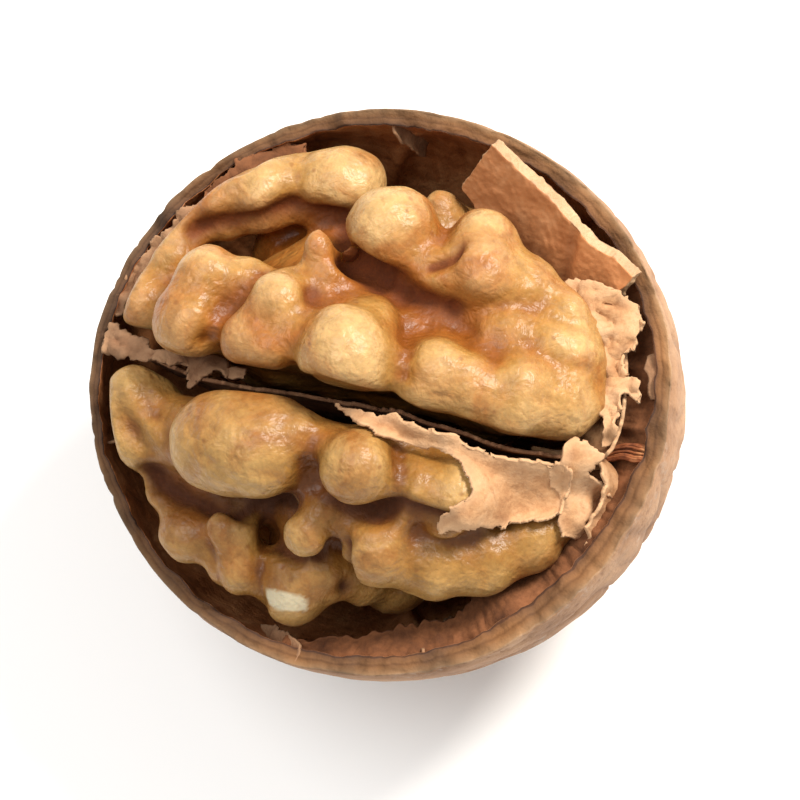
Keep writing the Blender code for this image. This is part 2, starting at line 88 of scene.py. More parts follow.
def link(name, mesh):
    """A smooth-shaded piece with the mesh, in the scene."""
    piece = bpy.data.objects.new(name, mesh)
    bpy.context.scene.collection.objects.link(piece)
    mesh.shade_smooth()
    return piece


def bake(piece):
    """Turns the piece with its modifiers into a plain mesh."""
    graph = bpy.context.evaluated_depsgraph_get()
    mesh = bpy.data.meshes.new_from_object(piece.evaluated_get(graph))
    piece.modifiers.clear()
    piece.data = mesh
    return piece


def grow(piece, tree, sizes):
    """Runs a Geometry Nodes tree on the piece with the named sizes and keeps its mesh."""
    shaping = piece.modifiers.new("shaping", "NODES")
    shaping.node_group = tree
    for item in tree.interface.items_tree:
        if item.in_out == "INPUT" and item.name in sizes:
            shaping[item.identifier] = float(sizes[item.name])
    return bake(piece)


def fill(made, grid):
    """Faces between neighbouring columns of vertices."""
    for column, beside in zip(grid, grid[1:]):
        for k in range(len(column) - 1):
            made.faces.new((column[k], beside[k], beside[k + 1], column[k + 1]))


def thin_sheet(name, made, finish, thickness, offset=0.0):
    """A sheet of a thickness in millimetres from its modelled surface."""
    mesh = bpy.data.meshes.new(name)
    made.to_mesh(mesh)
    made.free()
    mesh.materials.append(finish)
    piece = link(name, mesh)
    body = piece.modifiers.new("body", "SOLIDIFY")
    body.thickness = thickness * MM
    body.offset = offset
    return bake(piece)


def merged_copy(name, node):
    """A CAD solid's mesh with its loose triangles merged, as a new piece."""
    made = bmesh.new()
    made.from_mesh(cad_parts[node].data)
    bmesh.ops.remove_doubles(made, verts=made.verts, dist=1e-6)
    mesh = bpy.data.meshes.new(name)
    made.to_mesh(mesh)
    made.free()
    return link(name, mesh)


def settle(piece, node):
    """The finished piece moves with the nut and stands in for its CAD solid, which is hidden."""
    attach(piece, "root")
    if node:
        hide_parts(node)


# Materials

def new_material(name):
    made = bpy.data.materials.new(name)
    made.use_nodes = True
    return made, made.node_tree, made.node_tree.nodes["Principled BSDF"]


def seed_skin(name, deep, low, mid, high, crown, flush):
    """Walnut seed coat, dried on the seed: thin, slightly oily, with painted shade darkening its folds and
    valleys and painted light making its crowns cream, with orange and ochre patches, faint veins, brown
    freckles and fine wrinkles that break up its gloss. Where it is off, the flesh is ivory."""
    made, tree, shader = new_material(name)
    place = add(tree, "ShaderNodeTexCoord").outputs["Object"]
    valley = add(tree, "ShaderNodeAttribute", attribute_name="valley").outputs["Fac"]
    fold = add(tree, "ShaderNodeAttribute", attribute_name="fold").outputs["Fac"]
    bare = add(tree, "ShaderNodeAttribute", attribute_name="bare").outputs["Fac"]
    # Shades of colour 3 to 4 mm wide, plus painted shade in wide hollows and painted light on crowns, from
    # the valley measure
    patches = add(tree, "ShaderNodeTexNoise", {"Scale": 290.0, "Detail": 6.0, "Roughness": 0.66},
                  {"Vector": place})
    shifted = add(tree, "ShaderNodeMath", {1: -0.5}, {0: patches.outputs["Fac"]}, operation="ADD")
    tone = add(tree, "ShaderNodeMath", {1: 0.55}, {0: shifted.outputs[0], 2: valley},
               operation="MULTIPLY_ADD")
    ramp = add(tree, "ShaderNodeValToRGB", links={"Fac": tone.outputs[0]})
    stops(ramp, [(0.0, deep), (0.2, low), (0.38, mid), (0.64, high), (0.95, crown)])
    # Orange flush in patches of 3 to 7 mm
    glow = add(tree, "ShaderNodeTexNoise",
               {"Scale": 160.0, "Detail": 6.0, "Roughness": 0.62, "Distortion": 0.8},
               {"Vector": place})
    flushed = add(tree, "ShaderNodeMapRange", {"From Min": 0.42, "From Max": 0.64, "To Max": 0.8},
                  {"Value": glow.outputs["Fac"]})
    warm = add(tree, "ShaderNodeMix", {7: linear(flush)}, {0: flushed.outputs[0], 6: ramp.outputs["Color"]},
               data_type="RGBA")
    # Painted shade: sharp folds are brown whatever the patch
    creased = add(tree, "ShaderNodeMapRange", {"From Min": 0.34, "From Max": 0.08, "To Max": 0.75},
                  {"Value": fold})
    lined = add(tree, "ShaderNodeMix", {7: linear(low)}, {0: creased.outputs[0], 6: warm.outputs[2]},
                data_type="RGBA")
    # Painted shade: the deep valleys along the scored creases get the darkest colour
    stain = add(tree, "ShaderNodeAttribute", attribute_name="stain").outputs["Fac"]
    darkest = add(tree, "ShaderNodeMath", {1: 0.85}, {0: stain}, operation="MULTIPLY")
    crease_shaded = add(tree, "ShaderNodeMix", {7: linear(deep)}, {0: darkest.outputs[0], 6: lined.outputs[2]},
                  data_type="RGBA")
    # Veins run about 2.5 mm apart under the coat
    bend = add(tree, "ShaderNodeTexNoise", {"Scale": 420.0, "Detail": 3.0}, {"Vector": place})
    bent = add(tree, "ShaderNodeVectorMath", {1: (0.0022, 0.0022, 0.0022)},
               {0: bend.outputs["Color"], 2: place}, operation="MULTIPLY_ADD")
    veins = add(tree, "ShaderNodeTexVoronoi", {"Scale": 400.0}, {"Vector": bent.outputs[0]},
                feature="DISTANCE_TO_EDGE")
    thin = add(tree, "ShaderNodeMapRange", {"From Min": 0.05, "From Max": 0.0, "To Max": 0.12},
               {"Value": veins.outputs["Distance"]})
    veined = add(tree, "ShaderNodeMix", {7: linear(low)}, {0: thin.outputs[0], 6: crease_shaded.outputs[2]},
                 data_type="RGBA")
    # Speckle of 0.3 mm, paler and darker
    fine = add(tree, "ShaderNodeTexNoise", {"Scale": 1400.0, "Detail": 4.0, "Roughness": 0.7},
               {"Vector": place})
    speck = add(tree, "ShaderNodeMapRange",
                {"From Min": 0.35, "From Max": 0.65, "To Min": 0.84, "To Max": 1.14},
                {"Value": fine.outputs["Fac"]})
    speckled = add(tree, "ShaderNodeVectorMath", links={0: veined.outputs[2], "Scale": speck.outputs[0]},
                   operation="SCALE")
    # Freckles 0.2 to 0.4 mm across
    dots = add(tree, "ShaderNodeTexVoronoi", {"Scale": 1150.0, "Randomness": 1.0}, {"Vector": place})
    near = add(tree, "ShaderNodeMapRange", {"From Min": 0.27, "From Max": 0.12},
               {"Value": dots.outputs["Distance"]})
    pick = add(tree, "ShaderNodeSeparateColor", links={0: dots.outputs["Color"]})
    few = add(tree, "ShaderNodeMath", {1: 0.86}, {0: pick.outputs[0]}, operation="GREATER_THAN")
    dark = add(tree, "ShaderNodeMath", {}, {0: near.outputs[0], 1: few.outputs[0]}, operation="MULTIPLY")
    faint = add(tree, "ShaderNodeMath", {1: 0.4}, {0: dark.outputs[0]}, operation="MULTIPLY")
    freckled = add(tree, "ShaderNodeMix", {7: linear("#6b3815")},
                   {0: faint.outputs[0], 6: speckled.outputs[0]},
                   data_type="RGBA")
    peeled = add(tree, "ShaderNodeMix", {7: linear("#b8aa8c")}, {0: bare, 6: freckled.outputs[2]},
                 data_type="RGBA")
    tree.links.new(peeled.outputs[2], shader.inputs["Base Color"])
    # Wrinkles 0.5 mm apart and a grain of 0.15 mm
    wrinkles = add(tree, "ShaderNodeTexVoronoi", {"Scale": 1900.0}, {"Vector": bent.outputs[0]},
                   feature="SMOOTH_F1")
    grain = add(tree, "ShaderNodeTexNoise", {"Scale": 2600.0, "Detail": 3.0, "Roughness": 0.6},
                {"Vector": place})
    rumple = add(tree, "ShaderNodeTexNoise",
                 {"Scale": 900.0, "Detail": 3.0, "Roughness": 0.6, "Distortion": 0.8},
                 {"Vector": place})
    height = add(tree, "ShaderNodeMath", {1: 0.5}, {0: grain.outputs["Fac"], 2: wrinkles.outputs["Distance"]},
                 operation="MULTIPLY_ADD")
    whole = add(tree, "ShaderNodeMath", {1: 1.6}, {0: rumple.outputs["Fac"], 2: height.outputs[0]},
                operation="MULTIPLY_ADD")
    bump = add(tree, "ShaderNodeBump", {"Strength": 0.42, "Distance": 0.0002}, {"Height": whole.outputs[0]})
    tree.links.new(bump.outputs[0], shader.inputs["Normal"])
    gloss = add(tree, "ShaderNodeMapRange", {"To Min": 0.26, "To Max": 0.5},
                {"Value": patches.outputs["Fac"]})
    dull = add(tree, "ShaderNodeMath", {1: 0.5}, {0: stain, 2: gloss.outputs[0]}, operation="MULTIPLY_ADD",
               use_clamp=True)
    tree.links.new(dull.outputs[0], shader.inputs["Roughness"])
    shader.inputs["IOR"].default_value = 1.37
    shader.inputs["Subsurface Weight"].default_value = 0.1
    shader.inputs["Subsurface Radius"].default_value = (1.0, 0.5, 0.22)
    shader.inputs["Subsurface Scale"].default_value = 0.001
    return made


def papery(name, pale, mid, dark):
    """Walnut partition, a dry papery membrane: matt, stippled and crumbly, paler at its torn edges."""
    made, tree, shader = new_material(name)
    place = add(tree, "ShaderNodeTexCoord").outputs["Object"]
    patches = add(tree, "ShaderNodeTexNoise", {"Scale": 330.0, "Detail": 6.0, "Roughness": 0.68},
                  {"Vector": place})
    ramp = add(tree, "ShaderNodeValToRGB", links={"Fac": patches.outputs["Fac"]})
    stops(ramp, [(0.3, dark), (0.5, mid), (0.7, pale)])
    # Stipple of 0.25 mm
    stipple = add(tree, "ShaderNodeTexNoise", {"Scale": 2100.0, "Detail": 4.0, "Roughness": 0.7},
                  {"Vector": place})
    specks = add(tree, "ShaderNodeMapRange", {"From Min": 0.52, "From Max": 0.36, "To Max": 0.35},
                 {"Value": stipple.outputs["Fac"]})
    spotted = add(tree, "ShaderNodeMix", {7: linear(dark)}, {0: specks.outputs[0], 6: ramp.outputs["Color"]},
                  data_type="RGBA")
    edge = add(tree, "ShaderNodeAttribute", attribute_name="torn").outputs["Fac"]
    faded = add(tree, "ShaderNodeMath", {1: 0.55}, {0: edge}, operation="MULTIPLY")
    torn = add(tree, "ShaderNodeMix", {7: linear(pale)}, {0: faded.outputs[0], 6: spotted.outputs[2]},
               data_type="RGBA")
    tree.links.new(torn.outputs[2], shader.inputs["Base Color"])
    crumple = add(tree, "ShaderNodeTexNoise", {"Scale": 900.0, "Detail": 4.0, "Roughness": 0.62},
                  {"Vector": place})
    height = add(tree, "ShaderNodeMath", {1: 0.5}, {0: stipple.outputs["Fac"], 2: crumple.outputs["Fac"]},
                 operation="MULTIPLY_ADD")
    bump = add(tree, "ShaderNodeBump", {"Strength": 0.5, "Distance": 0.0003}, {"Height": height.outputs[0]})
    tree.links.new(bump.outputs[0], shader.inputs["Normal"])
    shader.inputs["Roughness"].default_value = 0.86
    shader.inputs["IOR"].default_value = 1.4
    return made


def shell_wall():
    """Walnut shell, a hard woody wall: tan and matt outside with painted shade in its furrows and pale
    scuffs, a grainy broken rim with dark layers and painted shade toward the tip, and a brown, faintly shiny,
    fibrous lining."""
    made, tree, shader = new_material("walnut_shell_wood")
    place = add(tree, "ShaderNodeTexCoord").outputs["Object"]
    across = add(tree, "ShaderNodeAttribute", attribute_name="across").outputs["Fac"]
    relief = add(tree, "ShaderNodeAttribute", attribute_name="relief").outputs["Fac"]
    # Outside: patches of 5 mm, painted shade in the furrows from the relief, speckle of 0.3 mm, scuffs
    patches = add(tree, "ShaderNodeTexNoise", {"Scale": 190.0, "Detail": 6.0, "Roughness": 0.62},
                  {"Vector": place})
    tan = add(tree, "ShaderNodeValToRGB", links={"Fac": patches.outputs["Fac"]})
    stops(tan, [(0.28, "#7f5a3c"), (0.5, "#9d7655"), (0.72, "#b08b6a")])
    furrow = add(tree, "ShaderNodeMapRange", {"From Min": 0.0, "From Max": -1.0, "To Max": 0.75},
                 {"Value": relief})
    furrowed = add(tree, "ShaderNodeMix", {7: linear("#5e3d26")},
                   {0: furrow.outputs[0], 6: tan.outputs["Color"]},
                   data_type="RGBA")
    speckle = add(tree, "ShaderNodeTexNoise", {"Scale": 1500.0, "Detail": 4.0, "Roughness": 0.7},
                  {"Vector": place})
    darker = add(tree, "ShaderNodeMapRange", {"From Min": 0.47, "From Max": 0.3, "To Max": 0.55},
                 {"Value": speckle.outputs["Fac"]})
    specked = add(tree, "ShaderNodeMix", {7: linear("#6b482f")},
                  {0: darker.outputs[0], 6: furrowed.outputs[2]},
                  data_type="RGBA")
    rubbed = add(tree, "ShaderNodeTexNoise", {"Scale": 260.0, "Detail": 7.0, "Roughness": 0.75},
                 {"Vector": place})
    scuff = add(tree, "ShaderNodeMapRange", {"From Min": 0.58, "From Max": 0.7, "To Max": 0.6},
                {"Value": rubbed.outputs["Fac"]})
    outside = add(tree, "ShaderNodeMix", {7: linear("#ada397")}, {0: scuff.outputs[0], 6: specked.outputs[2]},
                  data_type="RGBA")
    # Rim: granular wood with thin dark layers that follow the wall
    ripple = add(tree, "ShaderNodeTexNoise", {"Scale": 700.0, "Detail": 4.0, "Roughness": 0.6},
                 {"Vector": place})
    depth = add(tree, "ShaderNodeMath", {1: 0.2}, {0: ripple.outputs["Fac"], 2: across},
                operation="MULTIPLY_ADD")
    layers = add(tree, "ShaderNodeValToRGB", links={"Fac": depth.outputs[0]})
    stops(layers,
          [(0.08, "#ab8b6c"), (0.22, "#9a724b"), (0.5, "#895c32"), (0.62, "#724821"), (0.72, "#875a31"),
                   (0.94, "#744a26"), (1.0, "#44220e"), (1.08, "#563218")])
    # Painted shade: the rim is darker toward the tip of the nut, with random blotches
    where = add(tree, "ShaderNodeSeparateXYZ", links={0: place})
    tip_shade = add(tree, "ShaderNodeMapRange",
               {"From Min": -0.02, "From Max": 0.004, "To Min": 0.42, "To Max": 0.72},
               {"Value": where.outputs[0]})
    blotch = add(tree, "ShaderNodeMapRange",
                 {"From Min": 0.36, "From Max": 0.64, "To Min": 0.6, "To Max": 1.3},
                 {"Value": patches.outputs["Fac"]})
    rim_shade_and_blotch = add(tree, "ShaderNodeMath", links={0: tip_shade.outputs[0], 1: blotch.outputs[0]},
                operation="MULTIPLY")
    rim_tone = add(tree, "ShaderNodeVectorMath",
                   links={0: layers.outputs["Color"], "Scale": rim_shade_and_blotch.outputs[0]},
                   operation="SCALE")
    # Lining: fibres and blotches of brown
    fibres = add(tree, "ShaderNodeTexNoise",
                 {"Scale": 420.0, "Detail": 6.0, "Roughness": 0.66, "Distortion": 0.7},
                 {"Vector": place})
    lining = add(tree, "ShaderNodeValToRGB", links={"Fac": fibres.outputs["Fac"]})
    stops(lining, [(0.3, "#6e381a"), (0.44, "#97592f"), (0.58, "#b07346"), (0.74, "#cb9765")])
    on_rim = add(tree, "ShaderNodeMapRange", {"From Min": 0.0, "From Max": 0.02}, {"Value": across})
    on_lining = add(tree, "ShaderNodeMapRange", {"From Min": 0.98, "From Max": 1.0}, {"Value": across})
    rim = add(tree, "ShaderNodeMix", {},
              {0: on_rim.outputs[0], 6: outside.outputs[2], 7: rim_tone.outputs[0]},
              data_type="RGBA")
    whole = add(tree, "ShaderNodeMix", {},
                {0: on_lining.outputs[0], 6: rim.outputs[2], 7: lining.outputs["Color"]},
                data_type="RGBA")
    tree.links.new(whole.outputs[2], shader.inputs["Base Color"])
    gloss = add(tree, "ShaderNodeMapRange", {"To Min": 0.82, "To Max": 0.55}, {"Value": on_lining.outputs[0]})
    tree.links.new(gloss.outputs[0], shader.inputs["Roughness"])
    height = add(tree, "ShaderNodeMath", {1: 0.6}, {0: speckle.outputs["Fac"], 2: ripple.outputs["Fac"]},
                 operation="MULTIPLY_ADD")
    bump = add(tree, "ShaderNodeBump", {"Strength": 0.6, "Distance": 0.0003}, {"Height": height.outputs[0]})
    tree.links.new(bump.outputs[0], shader.inputs["Normal"])
    return made


def fibre_strands():
    """Reddish fibres of the nut's stem, dry and matt, with light and dark stretches along them."""
    made, tree, shader = new_material("stem_fibre")
    place = add(tree, "ShaderNodeTexCoord").outputs["Object"]
    stretches = add(tree, "ShaderNodeTexNoise", {"Scale": 900.0, "Detail": 5.0, "Roughness": 0.7},
                    {"Vector": place})
    ramp = add(tree, "ShaderNodeValToRGB", links={"Fac": stretches.outputs["Fac"]})
    stops(ramp, [(0.3, "#5a2a12"), (0.5, "#8f5029"), (0.7, "#b37a4c")])
    tree.links.new(ramp.outputs["Color"], shader.inputs["Base Color"])
    bump = add(tree, "ShaderNodeBump", {"Strength": 0.5, "Distance": 0.0001},
               {"Height": stretches.outputs["Fac"]})
    tree.links.new(bump.outputs[0], shader.inputs["Normal"])
    shader.inputs["Roughness"].default_value = 0.75
    return made


def shard_wood():
    """The same shell wood on the chip: its smooth brown lining, with painted light on its part beyond the
    fold, its tan outside and its pale cut edge.
    """
    made, tree, shader = new_material("walnut_shard_wood")
    place = add(tree, "ShaderNodeTexCoord").outputs["Object"]
    cut = add(tree, "ShaderNodeAttribute", attribute_name="cut").outputs["Fac"]
    outer = add(tree, "ShaderNodeAttribute", attribute_name="outer").outputs["Fac"]
    patches = add(tree, "ShaderNodeTexNoise", {"Scale": 330.0, "Detail": 6.0, "Roughness": 0.6},
                  {"Vector": place})
    face = add(tree, "ShaderNodeValToRGB", links={"Fac": patches.outputs["Fac"]})
    stops(face, [(0.3, "#9a5e33"), (0.5, "#b07446"), (0.7, "#be885c")])
    back = add(tree, "ShaderNodeValToRGB", links={"Fac": patches.outputs["Fac"]})
    stops(back, [(0.3, "#7f5a3c"), (0.5, "#9d7655"), (0.7, "#b08b6a")])
    edge = add(tree, "ShaderNodeValToRGB", links={"Fac": patches.outputs["Fac"]})
    stops(edge, [(0.3, "#a27c58"), (0.5, "#b28e68"), (0.7, "#c0a17c")])
    # Painted light: the lining beyond the fold, which faces the lamp, is up to a third paler
    bent = add(tree, "ShaderNodeAttribute", attribute_name="bent").outputs["Fac"]
    lit_beyond_fold = add(tree, "ShaderNodeMapRange", {"To Min": 1.0, "To Max": 1.35}, {"Value": bent})
    turned = add(tree, "ShaderNodeVectorMath", links={0: face.outputs["Color"], "Scale": lit_beyond_fold.outputs[0]},
                 operation="SCALE")
    sides = add(tree, "ShaderNodeMix", {}, {0: outer, 6: turned.outputs[0], 7: back.outputs["Color"]},
                data_type="RGBA")
    whole = add(tree, "ShaderNodeMix", {}, {0: cut, 6: sides.outputs[2], 7: edge.outputs["Color"]},
                data_type="RGBA")
    tree.links.new(whole.outputs[2], shader.inputs["Base Color"])
    grain = add(tree, "ShaderNodeTexNoise", {"Scale": 1700.0, "Detail": 4.0, "Roughness": 0.65},
                {"Vector": place})
    bump = add(tree, "ShaderNodeBump", {"Strength": 0.4, "Distance": 0.0002},
               {"Height": grain.outputs["Fac"]})
    tree.links.new(bump.outputs[0], shader.inputs["Normal"])
    shader.inputs["Roughness"].default_value = 0.62
    return made


# Seed halves

def relief_tree(finish):
    """Rounds a seed half off and gives it the folds, dents and wrinkles that its lumps have."""
    tree = bpy.data.node_groups.new("seed relief", "GeometryNodeTree")
    face = tree.interface
    face.new_socket("Geometry", in_out="INPUT", socket_type="NodeSocketGeometry")
    for name in ("Fold depth", "Pillow size", "Pillow depth", "Dent size", "Dent depth", "Wrinkle depth",
                 "Seed"):
        face.new_socket(name, in_out="INPUT", socket_type="NodeSocketFloat")
    face.new_socket("Geometry", in_out="OUTPUT", socket_type="NodeSocketGeometry")
    given = add(tree, "NodeGroupInput").outputs
    position = add(tree, "GeometryNodeInputPosition").outputs[0]
    normal = add(tree, "GeometryNodeInputNormal").outputs[0]
    # Facets of the solid go, then each place is compared with its wider surroundings
    even = add(tree, "GeometryNodeBlurAttribute", {"Iterations": 6}, {"Value": position},
               data_type="FLOAT_VECTOR")
    soft = add(tree, "GeometryNodeSetPosition",
               links={"Geometry": given["Geometry"], "Position": even.outputs[0]})
    wide = add(tree, "GeometryNodeBlurAttribute", {"Iterations": 60}, {"Value": position},
               data_type="FLOAT_VECTOR")
    away = add(tree, "ShaderNodeVectorMath", links={0: position, 1: wide.outputs[0]}, operation="SUBTRACT")
    proud = add(tree, "ShaderNodeVectorMath", links={0: away.outputs[0], 1: normal}, operation="DOT_PRODUCT")
    held = add(tree, "ShaderNodeClamp", {"Min": -0.0006, "Max": 0.00035}, {"Value": proud.outputs["Value"]})
    folds = add(tree, "ShaderNodeMath", links={0: held.outputs[0], 1: given["Fold depth"]},
                operation="MULTIPLY")
    deeper = add(tree, "ShaderNodeVectorMath", links={0: normal, "Scale": folds.outputs[0]},
                 operation="SCALE")
    folded = add(tree, "GeometryNodeSetPosition",
                 links={"Geometry": soft.outputs[0], "Offset": deeper.outputs[0]})
    # Soft pillows with creases between them, then dents and wrinkles
    sway = add(tree, "ShaderNodeTexNoise", {"Scale": 260.0, "Detail": 2.0},
               {"Vector": position, "W": given["Seed"]},
               noise_dimensions="4D")
    swayed = add(tree, "ShaderNodeVectorMath", {1: (0.003, 0.003, 0.003)},
                 {0: sway.outputs["Color"], 2: position},
                 operation="MULTIPLY_ADD")
    rate = add(tree, "ShaderNodeMath", {0: 1.0}, {1: given["Pillow size"]}, operation="DIVIDE")
    pillows = add(tree, "ShaderNodeTexVoronoi", {"Smoothness": 0.35},
                  {"Vector": swayed.outputs[0], "Scale": rate.outputs[0], "W": given["Seed"]},
                  voronoi_dimensions="4D", feature="SMOOTH_F1")
    sunk = add(tree, "ShaderNodeMath", {0: 0.45}, {1: pillows.outputs["Distance"]}, operation="SUBTRACT")
    swell = add(tree, "ShaderNodeMath", links={0: sunk.outputs[0], 1: given["Pillow depth"]},
                operation="MULTIPLY")
    dent_rate = add(tree, "ShaderNodeMath", {0: 1.0}, {1: given["Dent size"]}, operation="DIVIDE")
    dents = add(tree, "ShaderNodeTexNoise", {"Detail": 1.0},
                {"Vector": position, "Scale": dent_rate.outputs[0], "W": given["Seed"]},
                noise_dimensions="4D")
    half = add(tree, "ShaderNodeMath", {1: 0.5}, {0: dents.outputs["Fac"]}, operation="SUBTRACT")
    dented = add(tree, "ShaderNodeMath",
                 links={0: half.outputs[0], 1: given["Dent depth"], 2: swell.outputs[0]},
                 operation="MULTIPLY_ADD")
    fine = add(tree, "ShaderNodeTexNoise", {"Scale": 1100.0, "Detail": 2.0}, {"Vector": swayed.outputs[0]})
    middle = add(tree, "ShaderNodeMath", {1: 0.5}, {0: fine.outputs["Fac"]}, operation="SUBTRACT")
    total = add(tree, "ShaderNodeMath",
                links={0: middle.outputs[0], 1: given["Wrinkle depth"], 2: dented.outputs[0]},
                operation="MULTIPLY_ADD")
    push = add(tree, "ShaderNodeVectorMath", links={0: normal, "Scale": total.outputs[0]}, operation="SCALE")
    shaped = add(tree, "GeometryNodeSetPosition",
                 links={"Geometry": folded.outputs[0], "Offset": push.outputs[0]})
    # How hollow each place is, narrowly and widely, for the painted shade in folds and valleys and the
    # painted light on crowns
    last = shaped.outputs[0]
    for name, rounds, reach in (("fold", 14, 0.00016), ("valley", 220, 0.0011)):
        around = add(tree, "GeometryNodeBlurAttribute", {"Iterations": rounds}, {"Value": position},
                     data_type="FLOAT_VECTOR")
        gap = add(tree, "ShaderNodeVectorMath", links={0: position, 1: around.outputs[0]},
                  operation="SUBTRACT")
        out = add(tree, "ShaderNodeVectorMath", links={0: gap.outputs[0], 1: normal}, operation="DOT_PRODUCT")
        part = add(tree, "ShaderNodeMapRange", {"From Min": -reach, "From Max": reach},
                   {"Value": out.outputs["Value"]})
        kept = add(tree, "GeometryNodeStoreNamedAttribute", {"Name": name},
                   {"Geometry": last, "Value": part.outputs[0]}, data_type="FLOAT", domain="POINT")
        last = kept.outputs[0]
    real = add(tree, "GeometryNodeRealizeInstances", links={"Geometry": last})
    coated = add(tree, "GeometryNodeSetMaterial", {"Material": finish}, {"Geometry": real.outputs[0]})
    add(tree, "NodeGroupOutput", links={"Geometry": coated.outputs[0]})
    return tree


# Creases over the seed halves, and ridges where the depth is below zero: depth, width, points. Creases deeper
# than 0.6 mm also get painted shade.
BACK_CREASES = [
    (0.9, 0.28, [(3.0, 8.1, 26.5), (3.8, 8.6, 26.6), (4.6, 9.2, 26.8), (4.9, 10.1, 26.6)]),
    (0.25, 0.60,
     [(3.4, 6.5, 26.4), (6.1, 6.7, 26.3), (8.6, 7.1, 25.4), (10.8, 7.3, 24.7), (12.1, 6.4, 24.4)]),
    (1.1, 0.60, [(-2.9, 7.5, 25.4), (-1.3, 7.2, 25.3), (1.2, 6.4, 25.5), (3.1, 5.9, 25.8), (5.1, 5.8, 25.6)]),
    (-0.4, 0.35,
     [(-3.6, 6.8, 26.4), (-2.2, 6.4, 25.6), (0.4, 5.7, 25.9), (2.9, 5.2, 25.6), (5.0, 4.9, 25.6)]),
    (0.2, 0.80, [(8.3, 3.8, 26.4), (9.6, 1.9, 27.6), (10.4, 0.4, 27.7), (10.7, -0.8, 27.1)]),
    (0.45, 0.45, [(1.2, 5.6, 25.8), (2.4, 4.0, 26.6), (3.4, 2.3, 28.4), (3.5, 0.4, 28.5)]),
    (0.6, 0.80,
     [(-8.1, 5.9, 26.4), (-8.9, 4.3, 26.9), (-9.5, 2.7, 26.9), (-10.2, 1.2, 26.9), (-10.9, 0.2, 26.3)]),
    (0.7, 0.50, [(-4.1, 4.9, 27.3), (-4.5, 2.9, 27.4), (-4.3, 1.1, 27.6), (-3.6, -0.3, 27.4)]),
    (0.6, 0.50, [(-8.4, 14.8, 21.7), (-8.1, 13.0, 22.8), (-8.0, 11.2, 22.5)]),
    (0.45, 0.60, [(-11.7, 13.2, 22.0), (-11.4, 11.6, 23.6), (-12.0, 10.2, 23.2)]),
    (-0.6, 1.70, [(7.0, 7.6, 26.7), (8.0, 7.2, 25.8), (9.0, 6.5, 25.2), (10.2, 5.7, 25.0), (11.7, 4.6, 25.1),
                  (13.0, 3.6, 24.7)]),
    (-0.9, 1.60, [(12.6, 7.4, 23.5), (13.4, 6.2, 23.8), (13.8, 4.8, 23.8)]),
    (-0.12, 0.25, [(5.2, 1.3, 29.0), (7.6, 1.8, 28.1), (10.1, 2.3, 27.5), (11.7, 3.0, 26.2)]),
    (0.6, 0.40, [(0.2, 6.2, 25.6), (1.4, 5.7, 25.7), (2.9, 5.2, 25.6), (4.6, 5.0, 25.6), (6.5, 4.6, 25.8)]),
    (1.0, 0.80, [(-4.6, 10.7, 21.2), (-3.7, 8.9, 23.4), (-2.3, 7.7, 25.2), (-0.6, 6.7, 25.4)]),
    (0.9, 0.90,
     [(-14.1, 8.2, 22.4), (-12.7, 8.6, 22.5), (-10.0, 9.5, 22.5), (-8.0, 10.6, 22.2), (-5.7, 10.9, 21.4)]),
    (0.65, 0.60, [(-3.9, 9.3, 22.8), (-2.3, 7.9, 25.3), (-0.7, 7.4, 25.6), (1.1, 7.2, 25.9)]),
]
FRONT_CREASES = [
    (0.16, 0.35, [(-10.8, -4.2, 27.7), (-9.3, -6.2, 28.8), (-7.4, -7.9, 28.6), (-4.9, -8.5, 28.0)]),
    (0.12, 0.35, [(-9.5, -3.5, 27.9), (-7.8, -6.0, 29.4), (-5.9, -7.5, 29.1), (-3.6, -7.6, 28.3)]),
    (0.5, 0.60, [(-2.0, -2.9, 27.3), (-1.9, -4.8, 28.6), (-1.9, -6.4, 27.7), (-1.1, -7.7, 26.3)]),
    (0.35, 0.50, [(-17.5, -3.3, 23.1), (-16.3, -5.3, 22.9), (-14.3, -7.0, 22.9)]),
    (0.35, 0.50, [(-16.2, -2.1, 23.0), (-14.7, -4.1, 23.1), (-12.8, -6.0, 24.0)]),
    (0.55, 0.40, [(-9.3, -10.3, 22.4), (-8.8, -12.5, 22.3), (-8.1, -14.3, 21.7), (-7.8, -15.4, 20.0)]),
    (0.55, 0.40, [(-5.3, -11.9, 21.1), (-5.1, -13.7, 21.4), (-4.8, -15.3, 20.8), (-5.0, -16.0, 19.4)]),
    (0.35, 0.70, [(5.4, -8.7, 25.2), (5.6, -11.0, 25.1), (6.1, -13.2, 22.8)]),
    (0.35, 0.70, [(9.0, -8.5, 24.3), (9.7, -10.0, 23.8), (10.3, -11.3, 23.0)]),
    (0.5, 0.50, [(3.6, -4.0, 26.8), (4.5, -5.5, 27.9), (4.6, -7.2, 27.6)]),
    (-0.5, 0.50, [(5.0, -8.8, 25.4), (6.4, -8.9, 25.0), (8.0, -8.6, 25.0)]),
    (1.3, 0.65,
     [(-14.1, -8.8, 21.2), (-12.1, -9.4, 21.3), (-9.8, -9.7, 21.8), (-7.0, -9.7, 22.8), (-5.2, -9.1, 22.4),
                 (-3.0, -8.7, 24.6)]),
    (0.7, 0.50,
     [(-5.4, -9.5, 21.8), (-5.6, -10.6, 20.5), (-4.0, -11.7, 21.9), (-2.3, -12.1, 22.8), (-1.0, -11.7, 22.6),
                 (0.2, -10.7, 24.2)]),
    (0.9, 0.45, [(1.1, -10.8, 25.1), (1.5, -12.0, 24.4), (0.8, -13.5, 20.5)]),
    (0.9, 0.60,
     [(-0.1, -8.2, 26.6), (1.1, -8.4, 25.8), (2.6, -8.4, 25.7), (4.7, -7.9, 27.0), (6.3, -8.1, 26.5),
                 (7.7, -8.1, 26.6)]),
]


def points_of(mesh, of="co"):
    """The mesh's vertices, or with of="vector" their normals, as rows of an array."""
    rows = np.zeros(len(mesh.vertices) * 3)
    (mesh.vertices if of == "co" else mesh.vertex_normals).foreach_get(of, rows)
    return rows.reshape(-1, 3)


